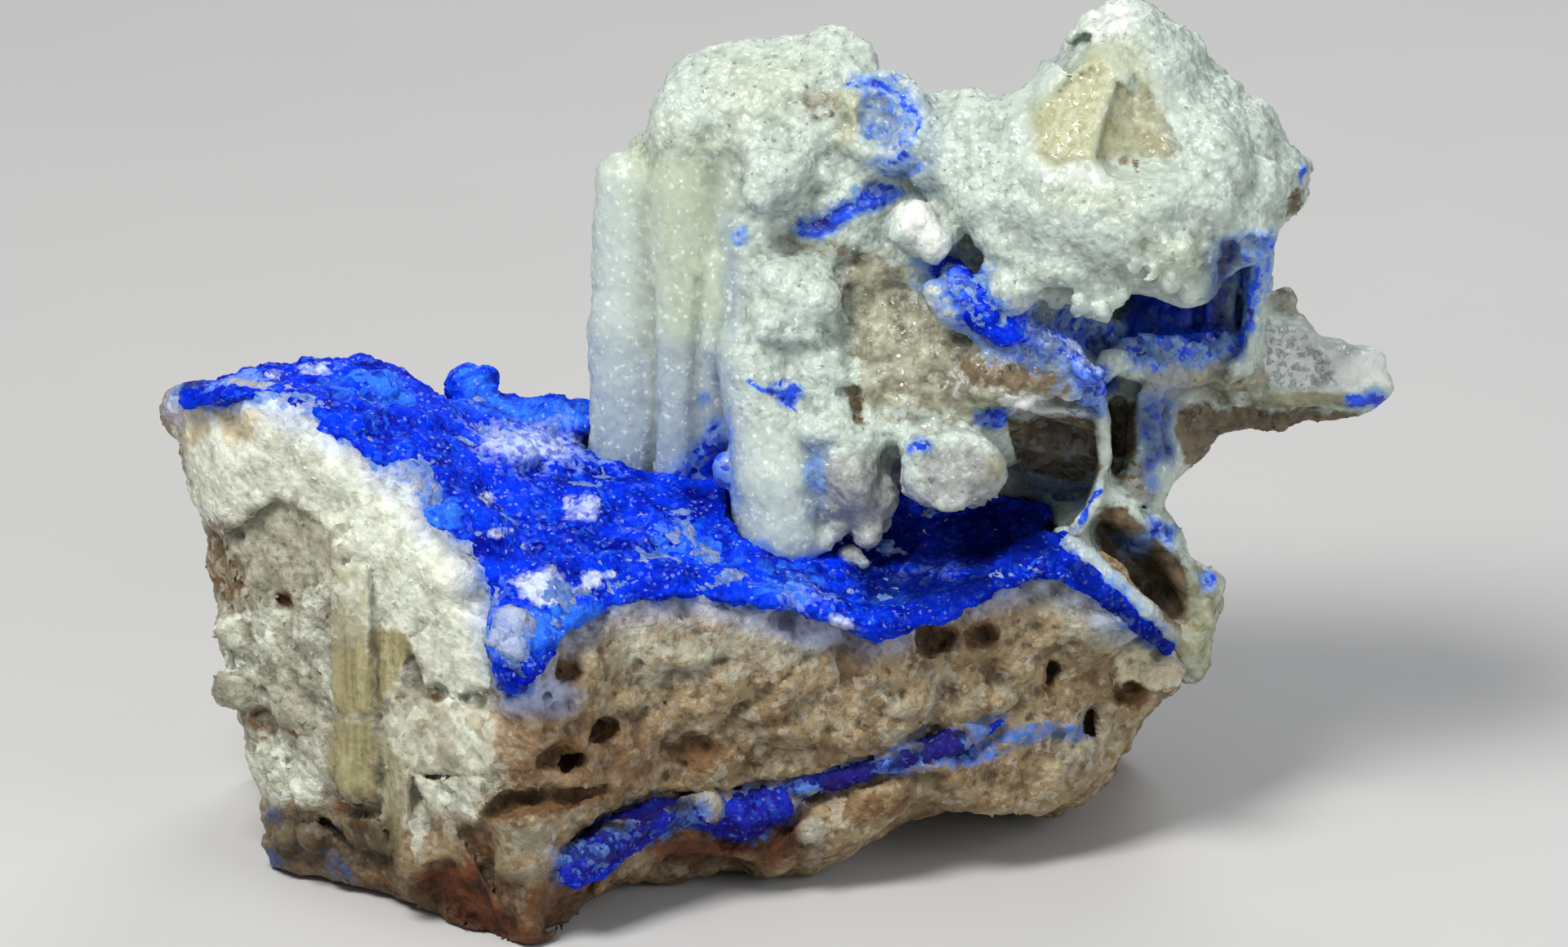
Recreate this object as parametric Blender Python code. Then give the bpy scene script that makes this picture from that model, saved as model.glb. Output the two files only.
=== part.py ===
"""An azurite specimen that stands on its trimmed base.

A block of pale, porous matrix rock carries a sloping ledge. A crust of blue azurite lies over the
ledge and runs on over the floor of the hollow behind it. A mass of pale stalactites has grown up
over the ledge: fused columns on the left, a short finger in front of them, a botryoidal head, a
broken spur, and on the right thin walls around open cells, where the mass meets the block again.
Two narrow seams are filled with azurite too, one under the head and one low in the block.

Everything is laid out in millimetres, with +X to the right, +Y to the back and +Z up. The front is
laid out as it looks from SIGHT_TILT above level, in sheet coordinates (u, v): u is x, and v is how
high a point then looks. seen() gives the point in space that looks to be at (u, v) at a depth y.

Each piece is first a field on one grid of voxels: the distance in mm to the piece's surface,
negative inside. Fields are joined, cut and roughened, and a mesh is then drawn where they are zero.
"""

import math

import bmesh
import bpy
import numpy as np
import openvdb

# Driving dimensions, in millimetres
PITCH = 0.6
GRID_LOW = (-50.0, -5.0, -4.0)
GRID_HIGH = (50.0, 54.0, 70.0)
SIGHT_TILT = math.radians(20)
CRUST_THICKNESS = 1.8
SEAM_SINK = 0.5
GAP = 0.5
BASE_CENTRE = (0.0, 24.0)
METRES = 0.001

# About how many triangles each piece is thinned to
BLOCK_TRIANGLES = 3000
MASS_TRIANGLES = 4700
CRUST_TRIANGLES = 1400
SEAM_TRIANGLES = 260

SIN_TILT = math.sin(SIGHT_TILT)
COS_TILT = math.cos(SIGHT_TILT)

# The block from above, from its rear left corner round the front to its rear right
BLOCK_PLAN = [
    (-43, 34), (-45.4, 30), (-45.2, 25), (-41.5, 18), (-35, 12.5), (-28, 7.5), (-22, 3),
    (-18.5, 0.2), (-14, 3.5), (-8, 8.2), (0, 10.5), (8, 11.8), (16, 14.5), (21, 17), (26, 20),
    (29.5, 24), (30.5, 31), (28, 40), (20, 46), (5, 49), (-12, 49), (-26, 44), (-36, 38),
]
# The block's front: its left side and underside, then up past its top
BLOCK_FRONT = [
    (-45, 60), (-44.9, 39.8), (-44.4, 37), (-43.4, 34), (-42.2, 30.5), (-41.7, 26.4),
    (-41.8, 21.6), (-40.8, 17), (-39.9, 13.2), (-38.4, 9.6), (-38.4, 5.7), (-32.7, 4.9),
    (-27.9, 3.3), (-21.9, 0.6), (-18.9, -0.2), (-17.6, 0), (-15.9, 2.1), (-13.2, 5.1),
    (-9.9, 6.8), (-6.3, 7), (-0.3, 5.3), (2.7, 6.5), (5.7, 8.5), (8.7, 10.5), (13.5, 10.1),
    (18.3, 10), (21.9, 10.9), (23.8, 12.3), (26, 16.5), (28.6, 19.4), (29.8, 22), (31.5, 27),
    (33, 60),
]
# Heights (x, y, z) of the block's top: the high left ledge, the slope to the front lip, the floor
# of the hollow on the right, and the rear
TOP_HEIGHTS = [
    (-45, 26, 33), (-41, 20, 34.4), (-37.5, 18, 35.2), (-33, 14.5, 34.8), (-29, 11.5, 32.2),
    (-25.5, 9, 29.2), (-22, 6, 25.6), (-19.5, 3.8, 22.2), (-15.5, 6.5, 23.6), (-10, 9, 24),
    (-4, 10.5, 23.2), (1, 11.6, 22), (5.7, 12.4, 19.8), (11, 13.4, 20.6), (16, 15, 22.6),
    (19.5, 16.5, 23), (23, 18.6, 19.9), (29, 23, 14.6),
    (-43, 31, 32), (-36, 32, 31.8), (-31.5, 24, 33), (-31, 31, 31.6), (-26, 17, 31.5),
    (-26, 31, 30.3), (-21, 13, 28), (-18, 22, 29), (-17, 31, 29.6), (-11, 17, 25.8),
    (-10, 26, 27.2), (-3, 17, 24.6), (2, 19, 22.2), (9, 20, 20), (15, 22, 20.8), (21, 26, 21.2),
    (26, 30, 14.5), (30, 27, 9.5), (29, 34, 10), (-5, 38, 28), (8, 34, 26), (20, 37, 22),
    (-38, 37, 27), (-28, 42, 25), (-16, 46, 24), (0, 47, 26), (18, 45, 19),
]
# The azurite on the ledge: its lower edge from left to right, then back along its knobbly top
CRUST_FRONT = [
    (-45, 40.1), (-44.4, 39.7), (-43.5, 39.5), (-39.9, 40.1), (-37.5, 39.9),
    (-35.4, 39.2), (-33, 38), (-31.2, 36.2), (-29.1, 34.7), (-27.2, 33.6), (-26.4, 31.2),
    (-24.3, 30), (-22.5, 28.4), (-21.9, 26.9), (-21.7, 24.9), (-21.9, 22.2), (-21.2, 19.5),
    (-19.5, 18.5), (-18.1, 19.7), (-17.1, 21.9), (-15, 24.1), (-12.3, 25.3), (-8.1, 25.8),
    (-4.8, 25.4), (-1.8, 24.8), (1.2, 24.5), (3.9, 23.5), (5.7, 22.7), (8.1, 22.9),
    (11.7, 24.1), (14.7, 25.9), (17.1, 26.7), (19.5, 27.1), (21.3, 26.1), (23.7, 24.1),
    (26.1, 22.5), (28.2, 21.1), (28.9, 21.9), (25.2, 25.6), (22.2, 28.1), (20.7, 30.6),
    (21, 45), (-14, 45), (-14.7, 39.6), (-15.9, 40.4), (-18.9, 40.4), (-21.3, 40.7),
    (-22.5, 42.7), (-24.3, 40.2), (-25.2, 39.9), (-26.7, 41.1), (-29.1, 42.6), (-31.5, 43.4),
    (-33.9, 42.9), (-38.7, 42.8), (-41.1, 42.3), (-43.6, 41),
]
# The stalactites, as they look, anticlockwise from the left columns' foot
MASS_FRONT = [
    (-14.6, 33.8), (-14.4, 40), (-14.2, 46), (-14, 51.6), (-13.6, 56.4), (-12.5, 58.9),
    (-10, 60.5), (-9.8, 62.5), (-8.1, 65.5), (-5.1, 66.6), (-0.3, 67.6), (2.1, 68), (5.4, 67.7),
    (6.4, 66), (6.9, 64.1), (10.5, 62.1), (11.1, 63), (14.1, 63.1), (15, 62.4), (16.5, 62.7),
    (18.9, 64.8), (20.1, 66.9), (22.5, 69.3), (24.6, 69.7), (26.7, 68.9), (29.7, 67.4),
    (31.5, 65.4), (32.2, 63.8), (34.5, 61.8), (36.4, 60), (38.1, 58.2), (38.6, 56.7), (38.1, 54.6),
    (36, 52.7), (36, 50.4), (35.1, 48.9), (37.2, 47.4), (39.3, 45.3), (42.9, 44.7), (44.6, 43.5),
    (45.1, 40.8), (43.5, 39), (40.5, 38.6), (38.1, 37.8), (35.7, 37.8), (33.9, 38.5), (32.1, 38),
    (30.9, 36.1), (29.1, 35), (28, 33.6), (27.3, 32.4), (28.8, 31.2), (29.4, 28.8), (32.1, 27.8),
    (32.5, 25.8), (31.2, 22.2), (29.6, 19.4), (28.4, 21.2), (20.1, 28.9), (18.6, 30.6),
    (15.9, 32.6), (12.3, 31.6), (8.1, 32.4), (7.2, 30), (4.5, 28.2), (2.7, 30), (2.1, 28.4),
    (-0.3, 27.8), (-3.9, 30), (-5.4, 33), (-7.2, 33), (-12, 32.6), (-13.8, 33),
]
# Seams of azurite, each in a groove of the piece around it: u, v and half the width
UPPER_SEAM = [
    (10.8, 50.2, 0.9), (12.6, 48.8, 1.2), (14.4, 46.8, 1.7), (16.2, 45.6, 1.5), (18.4, 44.8, 1.1),
    (20.4, 43.8, 0.9), (22.1, 42.2, 0.9), (22.6, 40.4, 0.8),
]
LOWER_SEAM = [
    (-15.8, 6, 1.5), (-13.6, 7.6, 1.9), (-10.4, 9.5, 1.4), (-7.2, 10.3, 1), (-3.6, 9.7, 2),
    (-1.2, 10.5, 1.5), (1, 11.6, 0.9), (5, 12.8, 0.8), (9, 14, 1.1), (12.6, 15.3, 1),
    (15.6, 16.6, 0.7),
]


def grid():
    """The x, y and z of every voxel."""
    axes = [np.arange(low, high, PITCH, dtype=np.float32) for low, high in zip(GRID_LOW, GRID_HIGH)]
    return np.meshgrid(*axes, indexing="ij")


X, Y, Z = grid()
V = Z * COS_TILT + Y * SIN_TILT


def seen(u, v, y):
    """The point in space that looks to be at (u, v) and lies at depth y."""
    return np.array((u, y, (v - y * SIN_TILT) / COS_TILT))


def onto(field, u, v, sink=0.0):
    """The first point of the shape that the line of sight at (u, v) meets, and sink mm past it."""
    for depth in np.arange(GRID_LOW[1] + 1, GRID_HIGH[1] - 1, PITCH / 2):
        place = seen(u, v, depth)
        cell = np.rint((place - GRID_LOW) / PITCH).astype(int)
        if (cell >= 0).all() and (cell < field.shape).all() and field[tuple(cell)] < 0:
            return seen(u, v, depth + sink)
    raise ValueError(f"nothing to see at {u}, {v}")


def ball(centre, radii):
    """An ellipsoid with its axes along X, Y and Z."""
    radii = np.broadcast_to(np.asarray(radii, float), 3)
    offsets = [axis - c for axis, c in zip((X, Y, Z), centre)]
    near = np.sqrt(sum((o / r) ** 2 for o, r in zip(offsets, radii)))
    slope = np.sqrt(sum((o / r**2) ** 2 for o, r in zip(offsets, radii))) + 1e-6
    return near * (near - 1) / slope


def rod(start, end, start_radius, end_radius):
    """A round-ended rod that tapers from one radius to the other."""
    start, end = np.asarray(start, float), np.asarray(end, float)
    along = end - start
    offsets = [axis - c for axis, c in zip((X, Y, Z), start)]
    share = np.clip(sum(o * a for o, a in zip(offsets, along)) / (along @ along), 0, 1)
    away = np.sqrt(sum((o - share * a) ** 2 for o, a in zip(offsets, along)))
    return away - (start_radius + share * (end_radius - start_radius))


def seam(field, run):
    """A lumpy vein along the run, sunk into the shape's face as it looks."""
    places = [onto(field, u, v, SEAM_SINK) for u, v, width in run]
    widths = [width for u, v, width in run]
    rods = [rod(*ends) for ends in zip(places, places[1:], widths, widths[1:])]
    return fused_all(rods, 0.4) + 0.3 * (grains(1.9, 41) - 1)


def slab(place, facing):
    """All of space behind the plane through that place, which faces that way."""
    facing = np.asarray(facing, float) / np.linalg.norm(facing)
    return sum((axis - p) * f for axis, p, f in zip((X, Y, Z), place, facing))


def wall(corners, thickness, front, rear):
    """A thin wall that runs into the depth from the line through the corners as it looks."""
    nearest = np.full(X.shape, 1e9, np.float32)
    for (ax, ay), (bx, by) in zip(corners, corners[1:]):
        dx, dy = bx - ax, by - ay
        px, py = X - ax, V - ay
        share = np.clip((px * dx + py * dy) / (dx * dx + dy * dy), 0, 1)
        nearest = np.minimum(nearest, np.hypot(px - share * dx, py - share * dy))
    return np.maximum(np.maximum(nearest - thickness / 2, front - Y), Y - rear)


def outline(corners, across, upward):
    """Distance to a closed outline, for fields of the two coordinates that it is drawn in."""
    corners = np.asarray(corners, np.float32)
    nearest = np.full(across.shape, 1e9, np.float32)
    inside = np.zeros(across.shape, bool)
    for (ax, ay), (bx, by) in zip(corners, np.roll(corners, -1, axis=0)):
        dx, dy = bx - ax, by - ay
        px, py = across - ax, upward - ay
        share = np.clip((px * dx + py * dy) / (dx * dx + dy * dy), 0, 1)
        nearest = np.minimum(nearest, (px - share * dx) ** 2 + (py - share * dy) ** 2)
        inside ^= ((ay > upward) != (by > upward)) & (px < dx * py / (dy if dy else 1e-9))
    return np.where(inside, -1, 1) * np.sqrt(nearest)


def surface_through(points):
    """The smooth height over x and y that passes through the points."""
    points = np.asarray(points, float)
    flat = points[:, :2]
    count = len(points)
    spread = np.linalg.norm(flat[:, None] - flat[None], axis=2)
    plane = np.column_stack((np.ones(count), flat))
    system = np.block([[spread, plane], [plane.T, np.zeros((3, 3))]])
    weights = np.linalg.solve(system, np.append(points[:, 2], np.zeros(3)))
    x, y = X[:, :, 0], Y[:, :, 0]
    height = weights[count] + weights[count + 1] * x + weights[count + 2] * y
    for (px, py), weight in zip(flat, weights[:count]):
        height = height + weight * np.hypot(x - px, y - py)
    return height[:, :, None].astype(np.float32)


def fused(first, second, fillet):
    """Both shapes joined, with a fillet of about that radius in the crease."""
    blend = np.clip(0.5 + 0.5 * (second - first) / fillet, 0, 1)
    return second + (first - second) * blend - fillet * blend * (1 - blend)


def fused_all(shapes, fillet):
    made = shapes[0]
    for shape in shapes[1:]:
        made = fused(made, shape, fillet)
    return made


def common(first, second, fillet):
    """What both shapes cover, with its edge rounded by about that radius."""
    return -fused(-first, -second, fillet)


def carved(shape, cutters, fillet):
    """The shape without the cutters, with their rims rounded."""
    for cutter in cutters:
        shape = common(shape, -cutter, fillet)
    return shape


def roughness(grain, seed):
    """Smooth noise from -1 to 1, with features of about that size in mm."""
    steps = [(axis - low) / grain for axis, low in zip((X, Y, Z), GRID_LOW)]
    cells = [np.floor(step).astype(int) for step in steps]
    shape = [cell.max() + 2 for cell in cells]
    lattice = np.random.default_rng(seed).uniform(-1, 1, shape).astype(np.float32)
    ease = [(s - c) ** 2 * (3 - 2 * (s - c)) for s, c in zip(steps, cells)]
    total = np.zeros(X.shape, np.float32)
    for corner in np.ndindex(2, 2, 2):
        weight = np.ones(X.shape, np.float32)
        for side, share in zip(corner, ease):
            weight = weight * (share if side else 1 - share)
        total += weight * lattice[tuple(cell + side for cell, side in zip(cells, corner))]
    return total


def grains(size, seed):
    """Distance to the nearest of many scattered points, about that far apart in mm."""
    cells = [np.floor((axis - low) / size).astype(int) for axis, low in zip((X, Y, Z), GRID_LOW)]
    shape = [cell.max() + 3 for cell in cells]
    jitter = np.random.default_rng(seed).uniform(0.1, 0.9, (3, *shape)).astype(np.float32)
    nearest = np.full(X.shape, 1e9, np.float32)
    for step in np.ndindex(3, 3, 3):
        there = [cell + move - 1 for cell, move in zip(cells, step)]
        index = tuple(cell + 1 for cell in there)
        away = np.zeros(X.shape, np.float32)
        for axis, low, cell, spread in zip((X, Y, Z), GRID_LOW, there, jitter):
            away += (axis - low - (cell + spread[index]) * size) ** 2
        nearest = np.minimum(nearest, away)
    return np.sqrt(nearest)


def block_field(top):
    """The matrix rock: where its plan, its front and its top meet, swollen, broken and pitted."""
    shape = common(outline(BLOCK_PLAN, X, Y), outline(BLOCK_FRONT, X, V), 1.4)
    shape = common(shape, (Z - top) * 0.85, 1.6)
    lumps = [
        ball(seen(-31, 27, 14), (5.5, 4, 7)),  # swelling under the left rim
        ball(seen(-24.5, 26, 10), (4, 3.5, 5)),  # white shoulder under the lip
        ball(seen(-19, 23, 6), (3.4, 3, 3.6)),  # pale dome at the front corner
        ball(seen(-19, 12, 4.5), (5, 3.5, 7)),  # front of the foot
        ball(seen(-9, 19.5, 11), (10, 4, 6)),  # rounded swell under the lip
        ball(seen(21.5, 25, 19), (5, 4, 4)),  # knob at the hollow's right end
        ball(seen(24.6, 19.2, 23), (3, 3, 2.6)),
        rod(seen(-15, 10, 8), seen(-4, 13, 12), 2.4, 2.2),  # over the lower seam
        rod(seen(-1, 14, 13), seen(18, 18, 19), 2.4, 2.2),
        rod(seen(-14, 5.6, 11), seen(-2, 7, 16), 1.4, 1.5),  # lips under the lower seam
        rod(seen(-2, 7.8, 15), seen(12, 12, 19.5), 1.7, 1.6),
        rod(seen(8, 11.2, 18), seen(22, 13, 25), 1.6, 1.4),
    ]
    shape = fused(shape, fused_all(lumps, 1.2), 1.4)
    prisms = [
        rod(seen(-31.6, 29, 11.5), seen(-31.6, 11.5, 9.4), 1.3, 1.5),  # long crystals in the rock
        rod(seen(-30, 26, 10.6), seen(-29.9, 11.2, 8.6), 1.2, 1.3),
        rod(seen(-27.6, 24, 8.8), seen(-27.4, 6, 5.4), 1.2, 1.4),
    ]
    shape = fused(shape, fused_all(prisms, 0.3), 0.4)
    rear = np.clip((Y - 12) / 20, 0, 1)
    shape = shape + 1.3 * rear * roughness(12.0, 13)
    shape = shape + 0.45 * roughness(5.0, 11) + 0.3 * (grains(3.4, 12) - 1.9)
    hollows = [
        rod(seen(-38, 8.3, 13), seen(-27.5, 9, 6.5), 1.5, 1.3),  # cleft over the lower left foot
        rod(seen(-26.6, 11, 6), seen(-20.4, 2.5, 1.2), 0.7, 0.8),  # notch beside the broken foot
        ball(seen(12.8, 23.4, 12.6), (2.8, 2.2, 1.4)),  # large pit under the lip
        ball(seen(10.6, 22.6, 12.4), (1.6, 2, 1)),
        ball(seen(-16, 20.6, 5), (1.2, 1.6, 0.9)),
        ball(seen(-16.4, 14.2, 4), (1.7, 2, 1.2)),
        ball(seen(-14, 16.3, 5), (1.6, 1.6, 0.9)),
        ball(seen(19.4, 20.3, 15.4), (0.9, 1.6, 1)),
        ball(seen(22.2, 16.4, 18.5), (0.9, 1.6, 1.2)),
    ]
    return carved(shape, hollows, 0.5)


def columns():
    """The fused columns on the left, and the finger in front of them."""
    return [
        rod(seen(-12, 35.4, 26.5), seen(-11.6, 56, 28.5), 2.6, 2.2),
        rod(seen(-7.6, 36, 25.2), seen(-7.3, 61, 27.5), 2.4, 2.9),
        rod(seen(-4.6, 38, 25), seen(-3.6, 60, 27), 1.6, 2.4),
        rod(seen(-8.5, 38, 31), seen(-7, 62, 32), 5.0, 4.6),
        ball(seen(-1.5, 61.5, 31), (8.2, 7.5, 5.4)),
        ball(seen(3.8, 64, 31), (3.4, 5, 3.9)),
        rod(seen(-0.6, 31.5, 19.6), seen(-3, 44, 21.6), 3.3, 2.3),
        rod(seen(-3.2, 44, 24), seen(-2.6, 56, 26), 2.2, 2.4),
    ]


def middle():
    """The broken middle of the mass, the drusy lumps on it and the rim of the open stalactite."""
    return [
        ball(seen(10, 44, 32), (13, 13, 9.5)),
        ball(seen(8, 52, 33), (11, 10, 7)),
        ball(seen(4, 56, 32), (9, 9, 8)),
        ball(seen(0.9, 47, 23.6), (3.8, 3.4, 3.8)),
        ball(seen(2.4, 41.5, 22), (2.8, 3, 3)),
        ball(seen(-0.8, 57, 24.4), (2.6, 3, 3)),
        ball(seen(7, 60.4, 27), (4.2, 4.6, 4)),
        ball(seen(9.6, 52.6, 21), (2.6, 2.6, 1.8)),
        ball(seen(11.9, 35.4, 18), (3.9, 3.6, 3.1)),
        rod(seen(11.4, 48.2, 19.6), seen(21.2, 41.6, 19.4), 1.9, 1.7),
        ball(seen(16, 42.4, 21), (4.4, 4, 2.4)),
        ball(seen(4, 36, 21), (3.6, 4.5, 5)),
        ball(seen(6.5, 31.6, 20), (2.2, 3, 2.2)),
    ]


def head():
    """The botryoidal head, with lumps hanging from its lower edge."""
    return [
        ball(seen(24.5, 57, 27), (12.6, 12.5, 8.8)),
        ball(seen(24.7, 64, 28), (6.2, 7, 5.8)),
        ball(seen(34, 56.5, 28), (4.6, 6, 4.6)),
        ball(seen(13.6, 58.5, 26.5), (4.8, 6.5, 4.8)),
        ball(seen(15.5, 54.6, 21.5), (3.6, 4, 3.6)),
        ball(seen(18, 51, 20.6), (3.4, 3.8, 3.2)),
        ball(seen(22.3, 49.2, 19.4), (3, 3.4, 2.8)),
        ball(seen(26.6, 52, 18.4), (3.6, 3.6, 3)),
        ball(seen(29.4, 49.4, 20.6), (2.6, 3.2, 3)),
        ball(seen(32.6, 53, 21.6), (3.4, 4, 3)),
        ball(seen(24, 58, 36), (12, 8, 8.5)),
    ]


def right_side():
    """The spur, and the thin walls around open cells that join the mass to the block."""
    front = 19 + (X - 16) * 0.46
    filling = [
        ball(seen(26, 40, 33), (6, 7, 7)),
        ball(seen(24, 32, 33), (6, 7, 7)),
        ball(seen(27, 27, 32), (4.4, 5, 5)),
    ]
    walls = [
        wall([(20, 30.4), (21.8, 29.2), (24, 27), (26.2, 24.8), (28.8, 22.4)], 1.8, front, 31),
        wall([(22.8, 40.2), (23.1, 36), (22.9, 33), (21.3, 30.6)], 1.1, front, 31),
        wall([(26.2, 39.6), (25.8, 36), (24.8, 33.6), (22.9, 33)], 1.2, front + 0.6, 32),
        wall([(23.2, 33), (25.5, 31.2), (27.3, 29.4), (29, 27), (30.3, 24.4)], 1.5, front, 32),
        wall([(25, 29), (26.8, 29.8)], 0.9, front + 1.2, 32),
        wall([(27.9, 36), (27.5, 31.6), (29.2, 29.9), (29.7, 28.2), (31.8, 27)], 1.7, front, 33),
        wall([(31.3, 26.8), (30.9, 23.4), (29.4, 20.6)], 2.6, front, 32),
        ball(seen(29.6, 23.4, 28), (2.2, 3.6, 3)),
        wall([(35, 52.4), (34.4, 48), (34, 43.4), (32, 41.6)], 1.5, front - 3, 33),
        wall([(23.6, 43), (27, 42), (30, 42.6), (33, 41.6)], 1.9, front - 1, 33),
    ]
    spur = [
        rod(seen(33.5, 44.2, 32), seen(42.4, 41.4, 30.5), 3.9, 2.4),
        rod(seen(29, 45.5, 33), seen(36, 45, 33.5), 4.4, 3.2),
        rod(seen(31, 39.8, 30), seen(42, 39.4, 30.5), 1.5, 1.2),
        rod(seen(29.5, 37, 31), seen(36, 38.6, 31), 2, 1.6),
    ]
    return [fused_all(filling, 1.5), fused_all(spur, 0.8), np.minimum.reduce(walls)]


def mass_field(block, top):
    """All the pale stalactites, fused where they grew together, and clear of the block."""
    shape = fused_all(columns() + middle() + head() + right_side(), 0.8)
    rear = [ball((4, 41, 40), (15, 7, 14)), ball((20, 40, 38), (11, 7, 14))]
    root = common(ball((5, 38, 27), (24, 9, 9)), top + 0.2 - Z, 0.6)
    shape = fused_all([shape, *rear, root], 1.6)
    shape = common(shape, outline(MASS_FRONT, X, V), 0.7)
    drusy = np.clip(0.6 + X / 12, 0.1, 1) * np.where((X > 17) & (V < 41), 0.2, 1)
    shape = shape + 0.2 * roughness(3.4, 21) + 0.45 * drusy * (grains(2.6, 22) - 1.3)
    notch = [slab((22.4, 18, 60), (-1, 0.25, -0.1)), slab((28.2, 18, 60), (0.93, 0.3, 0.3))]
    notch += [slab(seen(25, 56.6, 18), (0, -0.15, -1)), slab((25, 19.2, 60), (0, 1, -0.12))]
    hollows = [
        np.maximum.reduce(notch),  # open, broken crystal in the head
        rod(seen(17.4, 37.6, 17), seen(18.6, 34, 20), 2.5, 2.6),  # brown pocket
        rod(seen(24.4, 38.6, 20), seen(24.2, 35.6, 26), 0.9, 0.9),  # dark pocket beside it
        rod(seen(24.8, 46.4, 19), seen(26.2, 45, 26), 1.8, 1.8),  # recess under the head
        rod(seen(30, 46.2, 21), seen(31.6, 45.4, 27), 1.6, 1.4),
        ball(seen(6.8, 60.6, 22.6), (1.9, 1.6, 2)),  # the open stalactite
        rod(seen(2.2, 54, 20), seen(7.6, 55.6, 20), 1.1, 1.2),  # the blue vug
        rod(seen(-13, 31, 23), seen(-13, 33, 23), 0.5, 0.5),
    ]
    shape = carved(shape, hollows, 0.5)
    return np.maximum(shape, GAP - block)


def crust_field(block, mass, top):
    """The azurite: a layer over the block's top and its lip, with knobs along the rear edge."""
    layer = block - CRUST_THICKNESS - 0.25 * roughness(2.4, 31) + 0.3 * (grains(2.2, 32) - 1.3)
    knobs = [
        ball((-39.6, 29.5, 33.1), (3.6, 3, 1.9)),
        ball((-35, 30, 32.6), (2.6, 2.6, 1.7)),
        ball((-31.4, 30, 33.4), (4, 3, 2.3)),
        ball((-27.2, 31, 31.8), (2.2, 2.4, 1.7)),
        rod((-22.4, 29.6, 31), (-22.6, 30, 33.8), 1.9, 0.9),
        ball((-17.6, 30.4, 31), (2.8, 2.6, 1.5)),
    ]
    shape = fused(layer, fused_all(knobs, 0.6), 0.8)
    shape = common(shape, outline(CRUST_FRONT, X, V), 0.5)
    shape = np.maximum(np.maximum(shape, top - 3.5 - Z), Y - 34.5)
    return np.maximum(np.maximum(shape, GAP - block), GAP - mass)


def piece(name, field, triangles, colour, gloss):
    """An object of the field's largest shell, thinned to about that many triangles."""
    volume = openvdb.FloatGrid(2 * PITCH)
    volume.copyFromArray(np.ascontiguousarray(np.clip(field, -2 * PITCH, 2 * PITCH), np.float32))
    points, quads = volume.convertToQuads()
    points = (points * PITCH + np.array(GRID_LOW) - np.array((*BASE_CENTRE, 0))) * METRES
    mesh = bpy.data.meshes.new(name)
    mesh.from_pydata(points.tolist(), [], quads.tolist())
    keep_largest_shell(mesh)
    mesh.materials.append(material(name, colour, gloss))
    made = bpy.data.objects.new(name, mesh)
    bpy.context.scene.collection.objects.link(made)
    thin = made.modifiers.new("Fewer faces", "DECIMATE")
    thin.ratio = triangles / (2 * len(mesh.polygons))
    return made


def keep_largest_shell(mesh):
    work = bmesh.new()
    work.from_mesh(mesh)
    unseen = set(work.verts)
    shells = []
    while unseen:
        start = unseen.pop()
        shell, edge = {start}, [start]
        while edge:
            vert = edge.pop()
            near = {link.other_vert(vert) for link in vert.link_edges} & unseen
            unseen -= near
            shell |= near
            edge.extend(near)
        shells.append(shell)
    largest = max(shells, key=len)
    loose = [vert for vert in work.verts if vert not in largest]
    bmesh.ops.delete(work, geom=loose, context="VERTS")
    work.to_mesh(mesh)
    work.free()


def material(name, colour, gloss):
    made = bpy.data.materials.new(name)
    made.use_nodes = True
    shader = made.node_tree.nodes["Principled BSDF"]
    shader.inputs["Base Color"].default_value = (*colour, 1)
    shader.inputs["Roughness"].default_value = 1 - gloss
    shader.inputs["Metallic"].default_value = 0
    return made


def trim_flat(made):
    """Saws the piece off level at z = 0, with a cutter that isn't part of the specimen."""
    bpy.ops.mesh.primitive_cube_add(size=0.2, location=(0, 0, -0.1))
    cutter = bpy.context.object
    cutter.name = "base_cutter"
    cutter.hide_render = True
    cutter.display_type = "WIRE"
    saw = made.modifiers.new("Flat base", "BOOLEAN")
    saw.operation = "DIFFERENCE"
    saw.object = cutter


def main():
    for old in list(bpy.data.objects):
        bpy.data.objects.remove(old)
    top = surface_through(TOP_HEIGHTS)
    block = block_field(top)
    mass = mass_field(block, top)

    upper = seam(mass, UPPER_SEAM)
    lower = seam(block, LOWER_SEAM)
    mass = carved(mass, [upper - GAP], 0.2)
    block = carved(block, [lower - GAP], 0.2)
    crust = crust_field(block, mass, top)

    rock = piece("matrix_rock", block, BLOCK_TRIANGLES, (0.62, 0.55, 0.45), 0.3)
    trim_flat(rock)
    piece("pale_stalactites", mass, MASS_TRIANGLES, (0.78, 0.83, 0.77), 0.55)
    blue = (0.02, 0.06, 0.75)
    piece("azurite_crust", crust, CRUST_TRIANGLES, blue, 0.5)
    piece("azurite_upper_seam", upper, SEAM_TRIANGLES, blue, 0.5)
    piece("azurite_lower_seam", lower, SEAM_TRIANGLES, blue, 0.5)


main()
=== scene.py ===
"""An azurite specimen on a pale floor, seen from the front and a little above.

The CAD solids give each mineral its body. Here every solid becomes clay: a field of distances to
its surface on a fine grid, which strokes add to and cut away. A mesh is drawn from the clay, its
points are moved for the grain of the mineral, and masks are painted on it for the materials.

Lengths are in millimetres until a mesh is made. Places on the front are given in sheet units of
0.06 mm, (across, down), as they look from SIGHT_TILT above level.
"""

import math

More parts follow.
